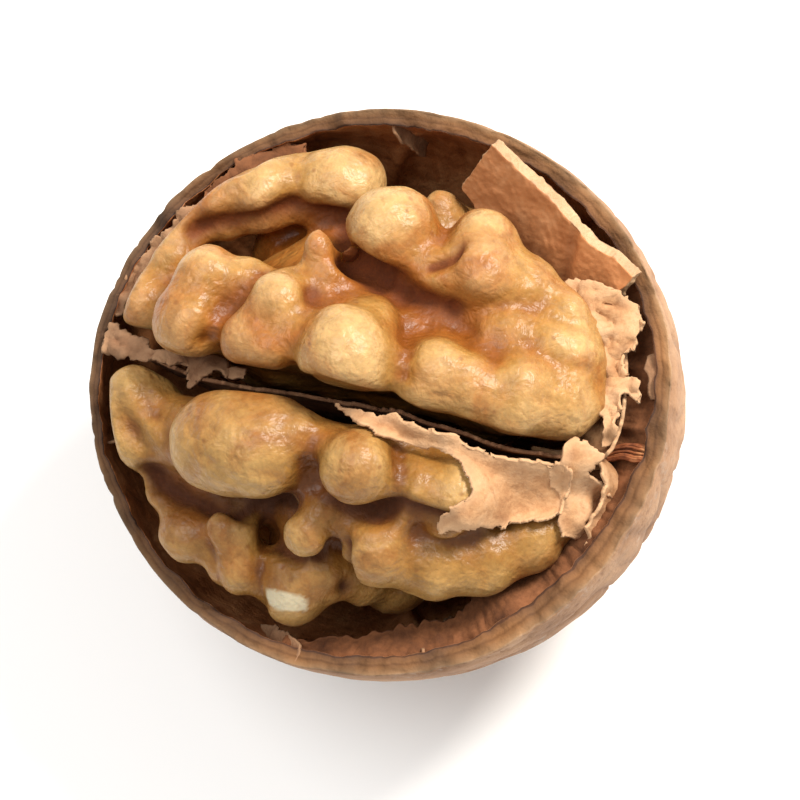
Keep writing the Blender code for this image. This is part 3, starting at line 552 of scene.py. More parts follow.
def score(piece, lines):
    """Presses creases into a piece, or raises ridges on it, along lines over its surface, and stores painted
    shade along the deeper creases.
    """
    place = points_of(piece.data) / MM
    normal = points_of(piece.data, "vector")
    push, stain = np.zeros(len(place)), np.zeros(len(place))
    for depth, width, points in lines:
        nearest = np.full(len(place), 1e9)
        for start, end in zip(points, points[1:]):
            a, b = np.array(start), np.array(end)
            share = np.clip((place - a) @ (b - a) / ((b - a) @ (b - a)), 0, 1)
            nearest = np.minimum(nearest, np.linalg.norm(place - a - share[:, None] * (b - a), axis=1))
        push += depth * np.exp(-(nearest / width) ** 2)
        # Painted shade along creases deeper than 0.6 mm
        if depth > 0.6:
            stain = np.maximum(stain, min(1.0, depth) * np.exp(-(nearest / (1.25 * width)) ** 2))
    push = np.minimum(push, 1.8)
    piece.data.vertices.foreach_set("co", ((place - normal * push[:, None]) * MM).ravel())
    piece.data.attributes.new("stain", "FLOAT", "POINT").data.foreach_set("value", stain)
    piece.data.update()


def make_seed_half(name, node, finish, seed, creases):
    piece = merged_copy(name, node)
    finer = piece.modifiers.new("finer", "REMESH")
    finer.mode = "VOXEL"
    finer.voxel_size = 0.25 * MM
    bake(piece)
    score(piece, creases)
    grow(piece, relief_tree(finish), {
        "Fold depth": 0.15, "Pillow size": 5.2 * MM, "Pillow depth": 0.5 * MM, "Dent size": 3.0 * MM,
        "Dent depth": 0.5 * MM, "Wrinkle depth": 0.06 * MM, "Seed": seed,
    })
    piece.data.shade_smooth()
    mark_bare(piece)
    return piece


# Where the coat is off and the pale flesh shows: middle and half sizes
BARE_MIDDLE = (-3.0, -15.1, 21.5)
BARE_SIZE = (1.9, 0.75, 0.9)


def mark_bare(piece):
    """Stores how far each place lies inside the patch without its coat, with a ragged border."""
    place = points_of(piece.data) / MM
    off = np.linalg.norm((place - np.array(BARE_MIDDLE)) / np.array(BARE_SIZE), axis=1)
    off += [0.25 * noise.noise(Vector(p) * 1.2) + 0.12 * noise.noise(Vector(p) * 3.4) for p in place]
    bare = piece.data.attributes.new("bare", "FLOAT", "POINT")
    bare.data.foreach_set("value", np.clip((1.0 - off) * 5, 0, 1))


# Shell half

SHELL_SIZE = Vector((40.3, 38.2, 18.5))
FLAT_RADIUS = 3.6
# Height of the shell's widest ring over the flat
WIDEST = SHELL_SIZE.z * math.sqrt(1 - (FLAT_RADIUS / (SHELL_SIZE.x / 2)) ** 2)
RIM = [
    (0, 21.6), (25, 21.3), (50, 21.0), (75, 21.3), (98, 21.4), (108, 20.8), (112, 20.1), (135, 19.9),
    (150, 20.3), (156, 19.7), (165, 20.2), (182, 20.6), (207, 20.2), (213, 19.1), (235, 18.9), (258, 19.8),
    (290, 20.8), (320, 21.7), (343, 22.1), (360, 21.6),
]
SIDES, OUTER_RINGS, RIM_RINGS, INNER_RINGS = 440, 62, 9, 58


# Wall at the rim: thin at the tip, thick on the stem end's near side
WALL = [
    (0, 1.25), (20, 0.95), (60, 0.9), (92, 1.0), (130, 0.7), (165, 0.55), (195, 0.5), (225, 0.7), (255, 1.0),
    (285, 1.3), (324, 1.6), (345, 1.5), (360, 1.25),
]


def wall_thickness(around):
    return along(WALL, math.degrees(around) % 360)


def shell_point(around, rise, inset):
    direction = Vector((math.cos(rise) * math.cos(around), math.cos(rise) * math.sin(around), math.sin(rise)))
    semi_axes = Vector((SHELL_SIZE.x / 2, SHELL_SIZE.y / 2, SHELL_SIZE.z))
    return Vector(direction[i] * (semi_axes[i] - inset) for i in range(3)) + Vector((0, 0, WIDEST))


def rim_heights(around):
    """Height of the outer and of the inner edge of the broken rim."""
    base = along(RIM, math.degrees(around) % 360)
    ring = Vector((math.cos(around), math.sin(around), 0))
    wavy = 0.28 * noise.noise(ring * 7) + 0.12 * noise.noise(ring * 24 + Vector((3, 0, 0)))
    jag = 0.10 * (abs(noise.noise(ring * 60 + Vector((0, 5, 0)))) ** 0.7)
    lean = 0.5 * noise.noise(ring * 6 + Vector((0, 0, 7)))
    return base + wavy + jag - max(0.0, lean), base + wavy - jag + min(0.0, lean)


def outer_relief(place):
    """Furrows along the nut and a net of shallower ones across, as a depth in millimetres."""
    wave = noise.noise(Vector((place.x * 0.08, place.y * 0.23, place.z * 0.23)))
    net = noise.noise(Vector((place.x * 0.17 + 9, place.y * 0.30, place.z * 0.30)))
    fine = noise.noise(place * 0.9)
    furrows = -0.34 * max(0.0, 1 - abs(wave) * 6) ** 1.5
    cross = -0.22 * max(0.0, 1 - abs(net) * 8) ** 1.5
    return furrows + cross + 0.10 * noise.noise(place * 0.35) + 0.05 * fine


def lining_relief(around, rise, place):
    """Low swells, a few fins and fine fibres on the inside."""
    fins = 0.0
    for degrees, lean, high in ((-62, 0.5, 0.9), (-44, -0.3, 0.7), (-3, 0.1, 1.0), (96, -0.4, 0.7)):
        off = (math.degrees(around) - degrees - lean * math.degrees(rise) + 180) % 360 - 180
        fins += high * math.exp(-(off / 2.4) ** 2) * math.exp(-((rise + 0.45) / 0.42) ** 2)
    fibres = 0.07 * noise.noise(Vector((math.degrees(around) * 0.6, rise * 4, 3)))
    return 0.25 * noise.noise(place * 0.16) + fibres + 0.06 * noise.noise(place * 1.3) - fins


def make_shell(finish):
    made = bmesh.new()
    across = made.verts.layers.float.new("across")
    relief = made.verts.layers.float.new("relief")
    first_rise = -math.acos(FLAT_RADIUS / (SHELL_SIZE.x / 2))
    floor_rise = -math.radians(75)
    columns = []
    for i in range(SIDES):
        around = 2 * math.pi * i / SIDES
        outer_top, inner_top = rim_heights(around)
        outer_rise = math.asin((outer_top - WIDEST) / SHELL_SIZE.z)
        inner_rise = math.asin((inner_top - WIDEST) / SHELL_SIZE.z)
        column = []
        for k in range(OUTER_RINGS + 1):
            share = 1 - (1 - k / OUTER_RINGS) ** 1.15
            rise = first_rise + (outer_rise - first_rise) * share
            fade = min(1.0, max(0.0, (rise - floor_rise) / math.radians(20)))
            seam = 0.2 * math.exp(-((rise - outer_rise) / math.radians(9)) ** 2)
            calm = 1 - 0.6 * math.exp(-((rise - outer_rise) / math.radians(14)) ** 2)
            hollow = outer_relief(shell_point(around, rise, 0)) * fade * calm
            column.append((shell_point(around, rise, -hollow - seam), 0.0, max(-1.0, hollow / 0.4)))
        wall = wall_thickness(around)
        outer_edge = column[-1][0]
        ring = Vector((math.cos(around), math.sin(around), 0))
        wall += 0.22 * noise.noise(ring * 11) + 0.10 * noise.noise(ring * 37)
        inner_edge = shell_point(around, inner_rise, wall)
        for k in range(1, RIM_RINGS + 1):
            share = k / (RIM_RINGS + 1)
            point = outer_edge.lerp(inner_edge, share)
            broken = noise.noise(point * 0.9) * 0.3 + noise.noise(point * 3.1) * 0.13
            broken += noise.noise(point * 7) * 0.05
            column.append((point + Vector((0, 0, broken)), 0.04 + 0.92 * share, 0.0))
        for k in range(INNER_RINGS):
            share = k / (INNER_RINGS - 1)
            rise = inner_rise + (math.radians(-84) - inner_rise) * share ** 1.1
            place = shell_point(around, rise, wall)
            inset = wall - lining_relief(around, rise, place) * min(1.0, k / 6)
            column.append((shell_point(around, rise, inset), 1.0, 0.0))
        verts = []
        for point, part, hollow in column:
            vertex = made.verts.new(point * MM)
            vertex[across] = part
            vertex[relief] = hollow
            verts.append(vertex)
        columns.append(verts)
    for i, column in enumerate(columns):
        beside = columns[(i + 1) % SIDES]
        for k in range(len(column) - 1):
            made.faces.new((column[k], beside[k], beside[k + 1], column[k + 1]))
    made.faces.new([column[0] for column in reversed(columns)])
    made.faces.new([column[-1] for column in columns])
    bmesh.ops.recalc_face_normals(made, faces=made.faces)
    if made.calc_volume(signed=True) < 0:
        bmesh.ops.reverse_faces(made, faces=made.faces)
    low = [min(v.co[i] for v in made.verts) for i in range(2)]
    high = [max(v.co[i] for v in made.verts) for i in range(2)]
    bmesh.ops.translate(made, verts=made.verts, vec=(-(low[0] + high[0]) / 2, -(low[1] + high[1]) / 2, 0))
    mesh = bpy.data.meshes.new("wall_and_rim")
    made.to_mesh(mesh)
    made.free()
    mesh.materials.append(finish)
    return link("wall_and_rim", mesh)


# Paper

CLEFT = [
    (-20.0, 0.4), (-18.6, 0.2), (-16.6, -0.6), (-14.0, -1.2), (-11.5, -1.6), (-3.4, -1.4), (2.3, -1.5),
    (5.2, -1.9), (10.4, -2.4), (13.9, -2.0), (17.0, -1.2),
]
# The wall's own torn edge is lower than the sheets that hang from it
WALL_TOP = [
    (-20.0, 20.6), (-17.0, 21.2), (-14.6, 21.6), (-12.8, 21.0), (-11.2, 22.2), (-9.4, 21.4), (-3.0, 22.0),
    (0.0, 23.4), (3.0, 25.0), (6.0, 25.0), (9.0, 24.2), (12.0, 22.8), (14.0, 21.4), (17.0, 19.8),
]
FLAP_CREST = [
    (-2.0, 25.6), (0.4, 26.8), (3.0, 27.5), (6.0, 27.5), (9.0, 27.0), (12.0, 25.6), (14.0, 24.4),
    (17.0, 22.6),
]
FLAP = [
    (-1.0, -2.0), (0.2, -2.1), (1.7, -2.2), (2.8, -2.3), (3.3, -1.7), (3.7, -2.2), (5.0, -2.3), (6.4, -2.5),
    (7.7, -2.8), (9.0, -3.1), (10.5, -3.2), (12.3, -3.0), (14.1, -2.7), (14.8, -3.2), (14.6, -4.6),
    (14.3, -5.9),
    (13.6, -6.5), (12.7, -6.8), (11.6, -7.2), (10.9, -7.8), (9.9, -7.7), (8.9, -8.1), (7.5, -8.7),
    (7.5, -7.8),
    (8.5, -6.9), (9.1, -6.2), (9.2, -5.5), (8.6, -4.7), (7.9, -4.1), (6.8, -3.7), (5.4, -3.5), (3.4, -3.8),
    (1.8, -3.4), (0.8, -3.0), (-0.2, -2.5),
]
STEM_PIECE = [
    (14.1, -2.7), (14.0, -1.6), (14.5, -1.0), (15.3, -1.1), (16.1, -1.7), (15.6, -2.8), (16.4, -3.2),
    (16.9, -4.0),
    (16.5, -4.9), (15.7, -5.9), (15.4, -6.9), (14.5, -7.4), (14.0, -6.4), (14.2, -5.0), (13.4, -4.0),
    (13.2, -3.0),
]
STEM_WING = [
    (11.4, 8.9), (12.6, 7.7), (13.5, 7.2), (14.1, 6.2), (14.5, 5.0), (14.6, 3.9), (14.8, 2.6), (15.2, 1.4),
    (15.7, 0.2), (15.9, -0.9), (16.7, -0.8), (16.8, 0.1), (16.6, 0.9), (16.9, 1.7), (16.5, 2.6), (16.9, 2.65),
    (17.3, 2.4), (17.9, 2.3), (17.6, 3.3), (17.3, 3.8), (16.5, 3.7), (16.4, 4.3), (16.2, 5.4), (16.8, 5.7),
    (16.7, 6.8), (17.1, 7.4), (16.7, 8.2), (16.3, 8.7), (15.8, 8.8), (14.8, 9.4), (13.8, 9.5), (12.8, 9.4),
    (11.9, 9.6),
]
TIP_STRIP = [
    (-19.2, 1.1), (-17.7, 0.4), (-16.0, -0.1), (-14.6, -0.2), (-13.2, 0.2), (-12.2, 0.5), (-11.4, 0.1),
    (-10.4, -0.4), (-9.1, -0.6), (-9.0, -1.1), (-9.9, -1.3), (-10.7, -1.0), (-11.5, -1.3), (-12.1, -1.9),
    (-12.8, -2.2), (-13.2, -1.6), (-13.1, -0.9), (-13.8, -1.0), (-15.2, -1.1), (-16.6, -1.1), (-18.0, -1.1),
    (-19.2, -0.8),
]
# A film of pith between the seed and the wall at the tip
TIP_FILM = [
    (-19.7, 1.6), (-19.6, 3.4), (-19.2, 5.0), (-18.6, 6.2), (-17.8, 7.2), (-16.9, 8.6), (-15.7, 9.9),
    (-14.4, 10.8),
    (-14.6, 9.0), (-15.6, 7.6), (-16.4, 6.4), (-16.8, 5.3), (-17.1, 4.3), (-18.0, 3.7), (-18.6, 2.8),
    (-18.8, 1.6),
]
# The same film farther round, where it joins the back half's outer row to the wall
BACK_FILM = [
    (-8.9, 15.8), (-8.7, 14.3), (-10.1, 13.4), (-11.8, 12.7), (-12.4, 11.7), (-13.0, 10.5), (-14.3, 9.6),
    (-15.4, 9.4),
    (-15.5, 9.9), (-15.2, 10.8), (-14.3, 12.2), (-13.0, 13.7), (-11.6, 14.7), (-10.2, 15.5),
]


def outline_field(outline, x, y):
    """Distance in from the outline, positive inside, and made ragged."""
    points = np.array(outline)
    ends = np.roll(points, -1, axis=0)
    inside = np.zeros(x.shape, bool)
    nearest = np.full(x.shape, 1e9)
    for (ax, ay), (bx, by) in zip(points, ends):
        share = ((x - ax) * (bx - ax) + (y - ay) * (by - ay)) / ((bx - ax) ** 2 + (by - ay) ** 2)
        share = np.clip(share, 0, 1)
        nearest = np.minimum(nearest, np.hypot(x - ax - share * (bx - ax), y - ay - share * (by - ay)))
        crosses = (ay > y) != (by > y)
        with np.errstate(divide="ignore", invalid="ignore"):
            at = ax + (y - ay) * (bx - ax) / (by - ay)
        inside ^= crosses & (x < at)
    field = np.where(inside, nearest, -nearest)
    rough = np.vectorize(lambda a, b: 0.36 * noise.noise(Vector((a * 0.9, b * 0.9, 2)))
                         + 0.18 * noise.noise(Vector((a * 2.6, b * 2.6, 5)))
                         + 0.05 * noise.noise(Vector((a * 6.5, b * 6.5, 8))))
    return field + rough(x, y)


def draped_sheet(name, outline, trees, finish, lift, crumple, crest=None, level=None, pitch=0.16):
    """A torn sheet of paper laid over what is under it, with the outline seen from above."""
    points = np.array(outline)
    xs = np.arange(points[:, 0].min() - 0.6, points[:, 0].max() + 0.6, pitch)
    ys = np.arange(points[:, 1].min() - 0.6, points[:, 1].max() + 0.6, pitch)
    x, y = np.meshgrid(xs, ys, indexing="ij")
    field = outline_field(outline, x, y)
    ground = np.full(x.shape, -1.0)
    for i in range(len(xs)):
        for k in range(len(ys)):
            if field[i, k] < -0.8:
                continue
            for tree in trees:
                place, _, _, _ = tree.ray_cast(Vector((xs[i], ys[k], 60)) * MM, Vector((0, 0, -1)))
                if place:
                    ground[i, k] = max(ground[i, k], place.z / MM + lift)
            if crest:
                middle = along(CLEFT, xs[i])
                over = along(crest, xs[i]) - max(0.0, abs(ys[k] - middle) - 0.4) ** 2 * 0.9
                ground[i, k] = max(ground[i, k], over)
            if level:
                ground[i, k] = max(ground[i, k], level + 0.5 * noise.noise(Vector((xs[i], ys[k], 0)) * 0.35))
    sheet = np.where(ground < 0, ground.max() - 4, ground)
    for _ in range(60):
        mean = (np.roll(sheet, 1, 0) + np.roll(sheet, -1, 0)
                + np.roll(sheet, 1, 1) + np.roll(sheet, -1, 1)) / 4
        sheet = np.maximum(ground, sheet * 0.4 + mean * 0.6)
    made = bmesh.new()
    torn = made.verts.layers.float.new("torn")
    gx, gy = np.gradient(field, pitch)
    slope = np.maximum(gx ** 2 + gy ** 2, 0.05)
    verts = {}

    def corner(i, k):
        if (i, k) not in verts:
            px, py = xs[i], ys[k]
            if field[i, k] < 0:
                step = -field[i, k] / slope[i, k]
                limit = pitch / max(1e-6, abs(step) * math.sqrt(slope[i, k]))
                step *= min(1.0, limit)
                px, py = px + gx[i, k] * step, py + gy[i, k] * step
            wave = crumple * (0.4 - abs(noise.noise(Vector((px, py, 1)) * 0.55)))
            wave += crumple * 0.35 * (0.4 - abs(noise.noise(Vector((px, py, 4)) * 1.5)))
            edge = max(0.0, 1 - max(0.0, field[i, k]) / 0.7)
            curl = 0.22 * edge * (0.4 + noise.noise(Vector((px, py, 9)) * 1.1))
            vertex = made.verts.new(Vector((px, py, sheet[i, k] + abs(wave) + max(0.0, curl))) * MM)
            vertex[torn] = edge
            verts[(i, k)] = vertex
        return verts[(i, k)]

    for i in range(len(xs) - 1):
        for k in range(len(ys) - 1):
            if max(field[i, k], field[i + 1, k], field[i + 1, k + 1], field[i, k + 1]) > 0:
                made.faces.new((corner(i, k), corner(i + 1, k), corner(i + 1, k + 1), corner(i, k + 1)))
    return thin_sheet(name, made, finish, 0.22, 1.0)


def wall_sheet(finish):
    """The partition standing in the cleft, up to its torn edge."""
    columns, rows = 220, 60
    made = bmesh.new()
    grid = []
    for i in range(columns):
        x = -18.3 + (16.1 + 18.3) * i / (columns - 1)
        middle = along(CLEFT, x)
        inset = wall_thickness(math.atan2(middle, x)) + 0.8
        room = Vector((SHELL_SIZE.x / 2 - inset, SHELL_SIZE.y / 2 - inset, SHELL_SIZE.z - inset))
        depth = math.sqrt(max(0.0, 1 - (x / room.x) ** 2 - (middle / room.y) ** 2))
        foot = 18.2 - room.z * depth
        top = along(WALL_TOP, x) + 0.7 * noise.noise(Vector((x * 0.9, 0, 3)))
        top += 0.5 * noise.noise(Vector((x * 3, 0, 6)))
        column = []
        for k in range(rows):
            share = k / (rows - 1)
            z = foot + (top - foot) * share
            sway = 0.12 * noise.noise(Vector((x * 0.5, z * 0.5, 2)))
            column.append(made.verts.new(Vector((x, middle + sway, z)) * MM))
        grid.append(column)
    fill(made, grid)
    return thin_sheet("wall", made, finish, 0.25)


LIP = [(-28, 19.6), (-20, 21.4), (-8, 21.8), (4, 21.8), (20, 21.4), (29, 20.4)]
FLARE = [(-28, 0.4), (-14, 0.5), (0, 0.5), (10, 0.6), (22, 0.7), (29, 0.5)]


def stem_collar(trees, finish):
    """The paper round the seed's stem end, with a torn and flared lip."""
    columns, rows, reach = 150, 40, 26.0
    foot = 17.8
    middle = Vector((-0.7, 0, 0))
    made = bmesh.new()
    torn = made.verts.layers.float.new("torn")
    grid = []
    for i in range(columns):
        degrees = -28 + 57 * i / (columns - 1)
        lip = along(LIP, degrees) + 0.7 * noise.noise(Vector((degrees * 0.16, 0, 1)))
        lip += (0.35 * noise.noise(Vector((degrees * 0.6, 0, 4)))
                + 0.15 * noise.noise(Vector((degrees * 1.6, 0, 7))))
        column, before = [], 0.0
        for k in range(rows):
            share = k / (rows - 1)
            height = foot + (lip - foot) * share
            widest = 0.0
            for lean in (-8, -4, 0, 4, 8):
                turn = math.radians(degrees + lean)
                out = Vector((math.cos(turn), math.sin(turn), 0))
                start = middle + Vector((0, 0, height)) + out * reach
                for tree in trees:
                    place, _, _, _ = tree.ray_cast(start * MM, -out)
                    if place:
                        widest = max(widest, reach - (place / MM - start).length)
            radius = max(widest + 0.5, before - 0.05)
            before = radius
            turn = math.radians(degrees)
            radius += along(FLARE, degrees) * share ** 2
            radius += 0.25 * noise.noise(Vector((degrees * 0.18, height * 0.8, 5))) * share
            around = Vector((radius * math.cos(turn), radius * math.sin(turn), height))
            vertex = made.verts.new((middle + around) * MM)
            vertex[torn] = max(0.0, 1 - (lip - height) / 0.6)
            column.append(vertex)
        grid.append(column)
    fill(made, grid)
    bmesh.ops.smooth_vert(made, verts=made.verts, factor=0.5, use_axis_x=True, use_axis_y=True,
                          use_axis_z=False)
    return thin_sheet("collar", made, finish, 0.25)


# Thin fins of dried pith that stand on the lining: height and points along the wall
FINS = [
    (0.8, [(6.7, -11.8, 6.8), (6.2, -12.6, 7.5), (5.9, -14.0, 9.1), (5.7, -15.1, 11.8), (6.2, -16.0, 16.0),
           (6.7, -16.6, 20.2)]),
    (0.6, [(6.8, -10.8, 5.9), (7.5, -11.9, 7.3), (8.3, -13.0, 9.2), (9.8, -14.0, 15.0), (11.2, -14.6, 20.4)]),
    (0.5, [(17.5, 5.7, 20.6), (18.2, 4.5, 20.9), (18.4, 2.8, 20.7)]),
    (0.5, [(-2.8, 17.4, 20.6), (-2.1, 17.3, 18.6), (-1.5, 17.0, 15.4)]),
    (0.6, [(-5.9, -16.9, 15.0), (-4.0, -17.5, 17.4), (-1.8, -17.8, 19.6)]),
    (0.7, [(13.6, -9.6, 12.0), (14.8, -9.4, 15.5), (15.3, -9.8, 19.6)]),
    (0.6, [(-17.9, -6.2, 15.0), (-17.9, -6.6, 18.9)]),
]
# The lining's loose pith leaves the wall on the stem's side: degrees and how far it reaches in
SKIRT = [(-100, 0.6), (-88, 1.4), (-70, 2.2), (-45, 3.4), (-20, 4.2), (0, 4.0), (20, 3.4), (36, 2.2),
         (44, 0.8)]
# The stem's fibres lie across the lining and the rim: points and how far they spread sideways
BUNDLE = [(15.6, -1.35, 19.6, 0.3), (17.0, -0.85, 20.3, 0.5), (18.4, -0.8, 20.9, 0.55),
          (19.5, -0.85, 21.1, 0.4)]
BUNDLE_STRANDS = 26


def pith_fins(finish):
    """Ragged fins from inside the wall toward the seed."""
    made = bmesh.new()
    torn = made.verts.layers.float.new("torn")
    middle = np.array((0.0, 0.0, 18.2))
    for high, points in FINS:
        line = np.array(points)
        steps = np.concatenate(([0], np.cumsum(np.linalg.norm(np.diff(line, axis=0), axis=1))))
        columns, rows = max(12, int(steps[-1] / 0.16)), 12
        grid = []
        for i in range(columns):
            at = steps[-1] * i / (columns - 1)
            place = np.array([np.interp(at, steps, line[:, axis]) for axis in range(3)])
            out = (place - middle) / np.linalg.norm(place - middle)
            aside = np.cross(out, (0.0, 0.0, 1.0))
            end = min(1.0, 4 * i / (columns - 1), 4 * (columns - 1 - i) / (columns - 1))
            reach = high * (0.3 + 0.7 * end) * (1 + 0.5 * noise.noise(Vector((at * 0.8, high * 9, 0)))
                                                + 0.4 * noise.noise(Vector((at * 2.6, high * 9, 3))))
            column = []
            for k in range(rows):
                level = -1.1 + (reach + 1.1) * k / (rows - 1)
                sway = 0.35 * noise.noise(Vector((at * 0.6, level * 0.8, high * 7))) * (0.3 + k / rows)
                vertex = made.verts.new(Vector(place - out * level + aside * sway) * MM)
                vertex[torn] = max(0.0, k / (rows - 1) * 2 - 1)
                column.append(vertex)
            grid.append(column)
        fill(made, grid)
    return thin_sheet("fins", made, finish, 0.18)


def pith_skirt(finish):
    """Loose, wrinkled pith sloping from the wall down to the seed, with a ragged inner edge."""
    columns, rows = 300, 26
    made = bmesh.new()
    torn = made.verts.layers.float.new("torn")
    grid = []
    for i in range(columns):
        degrees = SKIRT[0][0] + (SKIRT[-1][0] - SKIRT[0][0]) * i / (columns - 1)
        around = math.radians(degrees)
        reach = along(SKIRT, degrees) * (1 + 0.3 * noise.noise(Vector((degrees * 0.12, 0, 1)))
                                         + 0.25 * noise.noise(Vector((degrees * 0.5, 0, 4))))
        top = rim_heights(around)[1] - 1.0 + 0.6 * noise.noise(Vector((degrees * 0.07, 3, 0)))
        wall = wall_thickness(around)
        column = []
        for k in range(rows):
            share = k / (rows - 1)
            inset = wall - 0.4 + (reach + 0.4) * share
            folds = 0.45 * (0.4 - abs(noise.noise(Vector((degrees * 0.22, share * 1.2, 2))))) * (0.3 + share)
            folds += 0.16 * noise.noise(Vector((degrees * 0.9, share * 3, 6)))
            z = top - reach * (0.35 * share + 0.4 * share ** 2) + folds
            ring = (SHELL_SIZE.x / 2 - inset, SHELL_SIZE.y / 2 - inset)
            vertex = made.verts.new(Vector((ring[0] * math.cos(around), ring[1] * math.sin(around), z)) * MM)
            vertex[torn] = max(0.0, share * 5 - 4.4)
            column.append(vertex)
        grid.append(column)
    fill(made, grid)
    return thin_sheet("skirt", made, finish, 0.2)


def strand_tree(finish):
    """Turns lines into thin, wavering strands."""
    tree = bpy.data.node_groups.new("fibre strands", "GeometryNodeTree")
    face = tree.interface
    face.new_socket("Geometry", in_out="INPUT", socket_type="NodeSocketGeometry")
    for name in ("Radius", "Sway", "Seed"):
        face.new_socket(name, in_out="INPUT", socket_type="NodeSocketFloat")
    face.new_socket("Geometry", in_out="OUTPUT", socket_type="NodeSocketGeometry")
    given = add(tree, "NodeGroupInput").outputs
    position = add(tree, "GeometryNodeInputPosition").outputs[0]
    lines = add(tree, "GeometryNodeMeshToCurve", links={"Mesh": given["Geometry"]})
    even = add(tree, "GeometryNodeResampleCurve", {"Count": 22}, {"Curve": lines.outputs[0]})
    waver = add(tree, "ShaderNodeTexNoise", {"Scale": 800.0, "Detail": 2.0},
                {"Vector": position, "W": given["Seed"]},
                noise_dimensions="4D")
    centred = add(tree, "ShaderNodeVectorMath", {1: (0.5, 0.5, 0.5)}, {0: waver.outputs["Color"]},
                  operation="SUBTRACT")
    offset = add(tree, "ShaderNodeVectorMath", links={0: centred.outputs[0], "Scale": given["Sway"]},
                 operation="SCALE")
    moved = add(tree, "GeometryNodeSetPosition",
                links={"Geometry": even.outputs[0], "Offset": offset.outputs[0]})
    section = add(tree, "GeometryNodeCurvePrimitiveCircle", {"Resolution": 6}, {"Radius": given["Radius"]})
    tubes = add(tree, "GeometryNodeCurveToMesh", {"Fill Caps": True},
                {"Curve": moved.outputs[0], "Profile Curve": section.outputs[0]})
    real = add(tree, "GeometryNodeRealizeInstances", links={"Geometry": tubes.outputs[0]})
    coated = add(tree, "GeometryNodeSetMaterial", {"Material": finish}, {"Geometry": real.outputs[0]})
    add(tree, "NodeGroupOutput", links={"Geometry": coated.outputs[0]})
    return tree


def stem_fibres(finish):
    """The bundle of fibres that ran from the stem into the partition."""
    chance = np.random.default_rng(11)
    made = bmesh.new()
    for _ in range(BUNDLE_STRANDS):
        aside, up = chance.uniform(-1, 1), chance.uniform(-0.25, 0.25)
        first, last = chance.uniform(0, 0.25), chance.uniform(0.8, 1.0)
        before = None
        for share in np.linspace(first, last, 8):
            at = share * (len(BUNDLE) - 1)
            stations = range(len(BUNDLE))
            x, y, z, spread = (np.interp(at, stations, [row[n] for row in BUNDLE]) for n in range(4))
            vertex = made.verts.new(Vector((x, y + aside * spread, z + up * spread * 2)) * MM)
            if before:
                made.edges.new((before, vertex))
            before = vertex
    mesh = bpy.data.meshes.new("stem_fibres")
    made.to_mesh(mesh)
    made.free()
    sizes = {"Radius": 0.09 * MM, "Sway": 0.5 * MM, "Seed": 4.0}
    return grow(link("stem_fibres", mesh), strand_tree(finish), sizes)


def join(name, parts):
    """One piece from several meshes, with their attributes and materials."""
    finishes = []
    for part in parts:
        for kept in part.data.materials:
            if kept not in finishes:
                finishes.append(kept)
    named = {a.name for part in parts for a in part.data.attributes
             if (a.domain, a.data_type) == ("POINT", "FLOAT")}
    for part in parts:
        for missing in sorted(named - set(part.data.attributes.keys())):
            part.data.attributes.new(missing, "FLOAT", "POINT")
        place = finishes.index(part.data.materials[0])
        part.data.polygons.foreach_set("material_index", [place] * len(part.data.polygons))
    made = bmesh.new()
    for part in parts:
        made.from_mesh(part.data)
    mesh = bpy.data.meshes.new(name)
    made.to_mesh(mesh)
    made.free()
    for kept in finishes:
        mesh.materials.append(kept)
    for part in parts:
        bpy.data.objects.remove(part, do_unlink=True)
    return link(name, mesh)


# Chip of shell

CHIP_FACE = Vector((-0.356, -0.571, 0.739))
# A fold crosses its inner face: a point on it and the way to the part beyond it, which gets painted light
CHIP_FOLD = Vector((11.2, 12.6, 0))
CHIP_TURN = Vector((0.98, -0.18, 0))


def make_shard(finish):
    """The chip with crisp broken edges and a fine, uneven surface."""
    piece = merged_copy("shell_shard", "shell_chip")
    mesh = piece.data
    made = bmesh.new()
    made.from_mesh(mesh)
    bmesh.ops.join_triangles(made, faces=made.faces, angle_face_threshold=0.6, angle_shape_threshold=1.2)
    crease = made.edges.layers.float.new("crease_edge")
    for edge in made.edges:
        if len(edge.link_faces) == 2 and edge.calc_face_angle() > math.radians(50):
            edge[crease] = 0.9
    made.to_mesh(mesh)
    made.free()
    finer = piece.modifiers.new("finer", "SUBSURF")
    finer.levels = 4
    finer.render_levels = 4
    bake(piece)
    mesh = piece.data
    made = bmesh.new()
    made.from_mesh(mesh)
    made.normal_update()
    cut = made.verts.layers.float.new("cut")
    outer = made.verts.layers.float.new("outer")
    bent = made.verts.layers.float.new("bent")
    for vertex in made.verts:
        facing = vertex.normal.dot(CHIP_FACE)
        vertex[cut] = min(1.0, max(0.0, (0.62 - abs(facing)) / 0.15))
        vertex[outer] = 1.0 if facing < 0 else 0.0
    for vertex in made.verts:
        place = vertex.co / MM
        beyond = (place.x - CHIP_FOLD.x) * CHIP_TURN.x + (place.y - CHIP_FOLD.y) * CHIP_TURN.y
        vertex[bent] = min(1.0, max(0.0, beyond * 2.5))
        vertex.co -= vertex.normal * 0.35 * math.exp(-(beyond / 0.4) ** 2) * (1 - vertex[cut]) * MM
        rough = 0.10 * noise.noise(place * 0.9) + 0.05 * noise.noise(place * 2.6)
        rough += vertex[cut] * (0.22 * noise.noise(place * 1.3 + Vector((4, 0, 0)))
                                + 0.1 * noise.noise(place * 3.7))
        vertex.co += vertex.normal * rough * MM
    made.to_mesh(mesh)
    made.free()
    mesh.materials.clear()
    mesh.materials.append(finish)
    mesh.shade_smooth()
    return piece


# The pieces

def tree_of(piece):
    return BVHTree.FromObject(piece, bpy.context.evaluated_depsgraph_get())


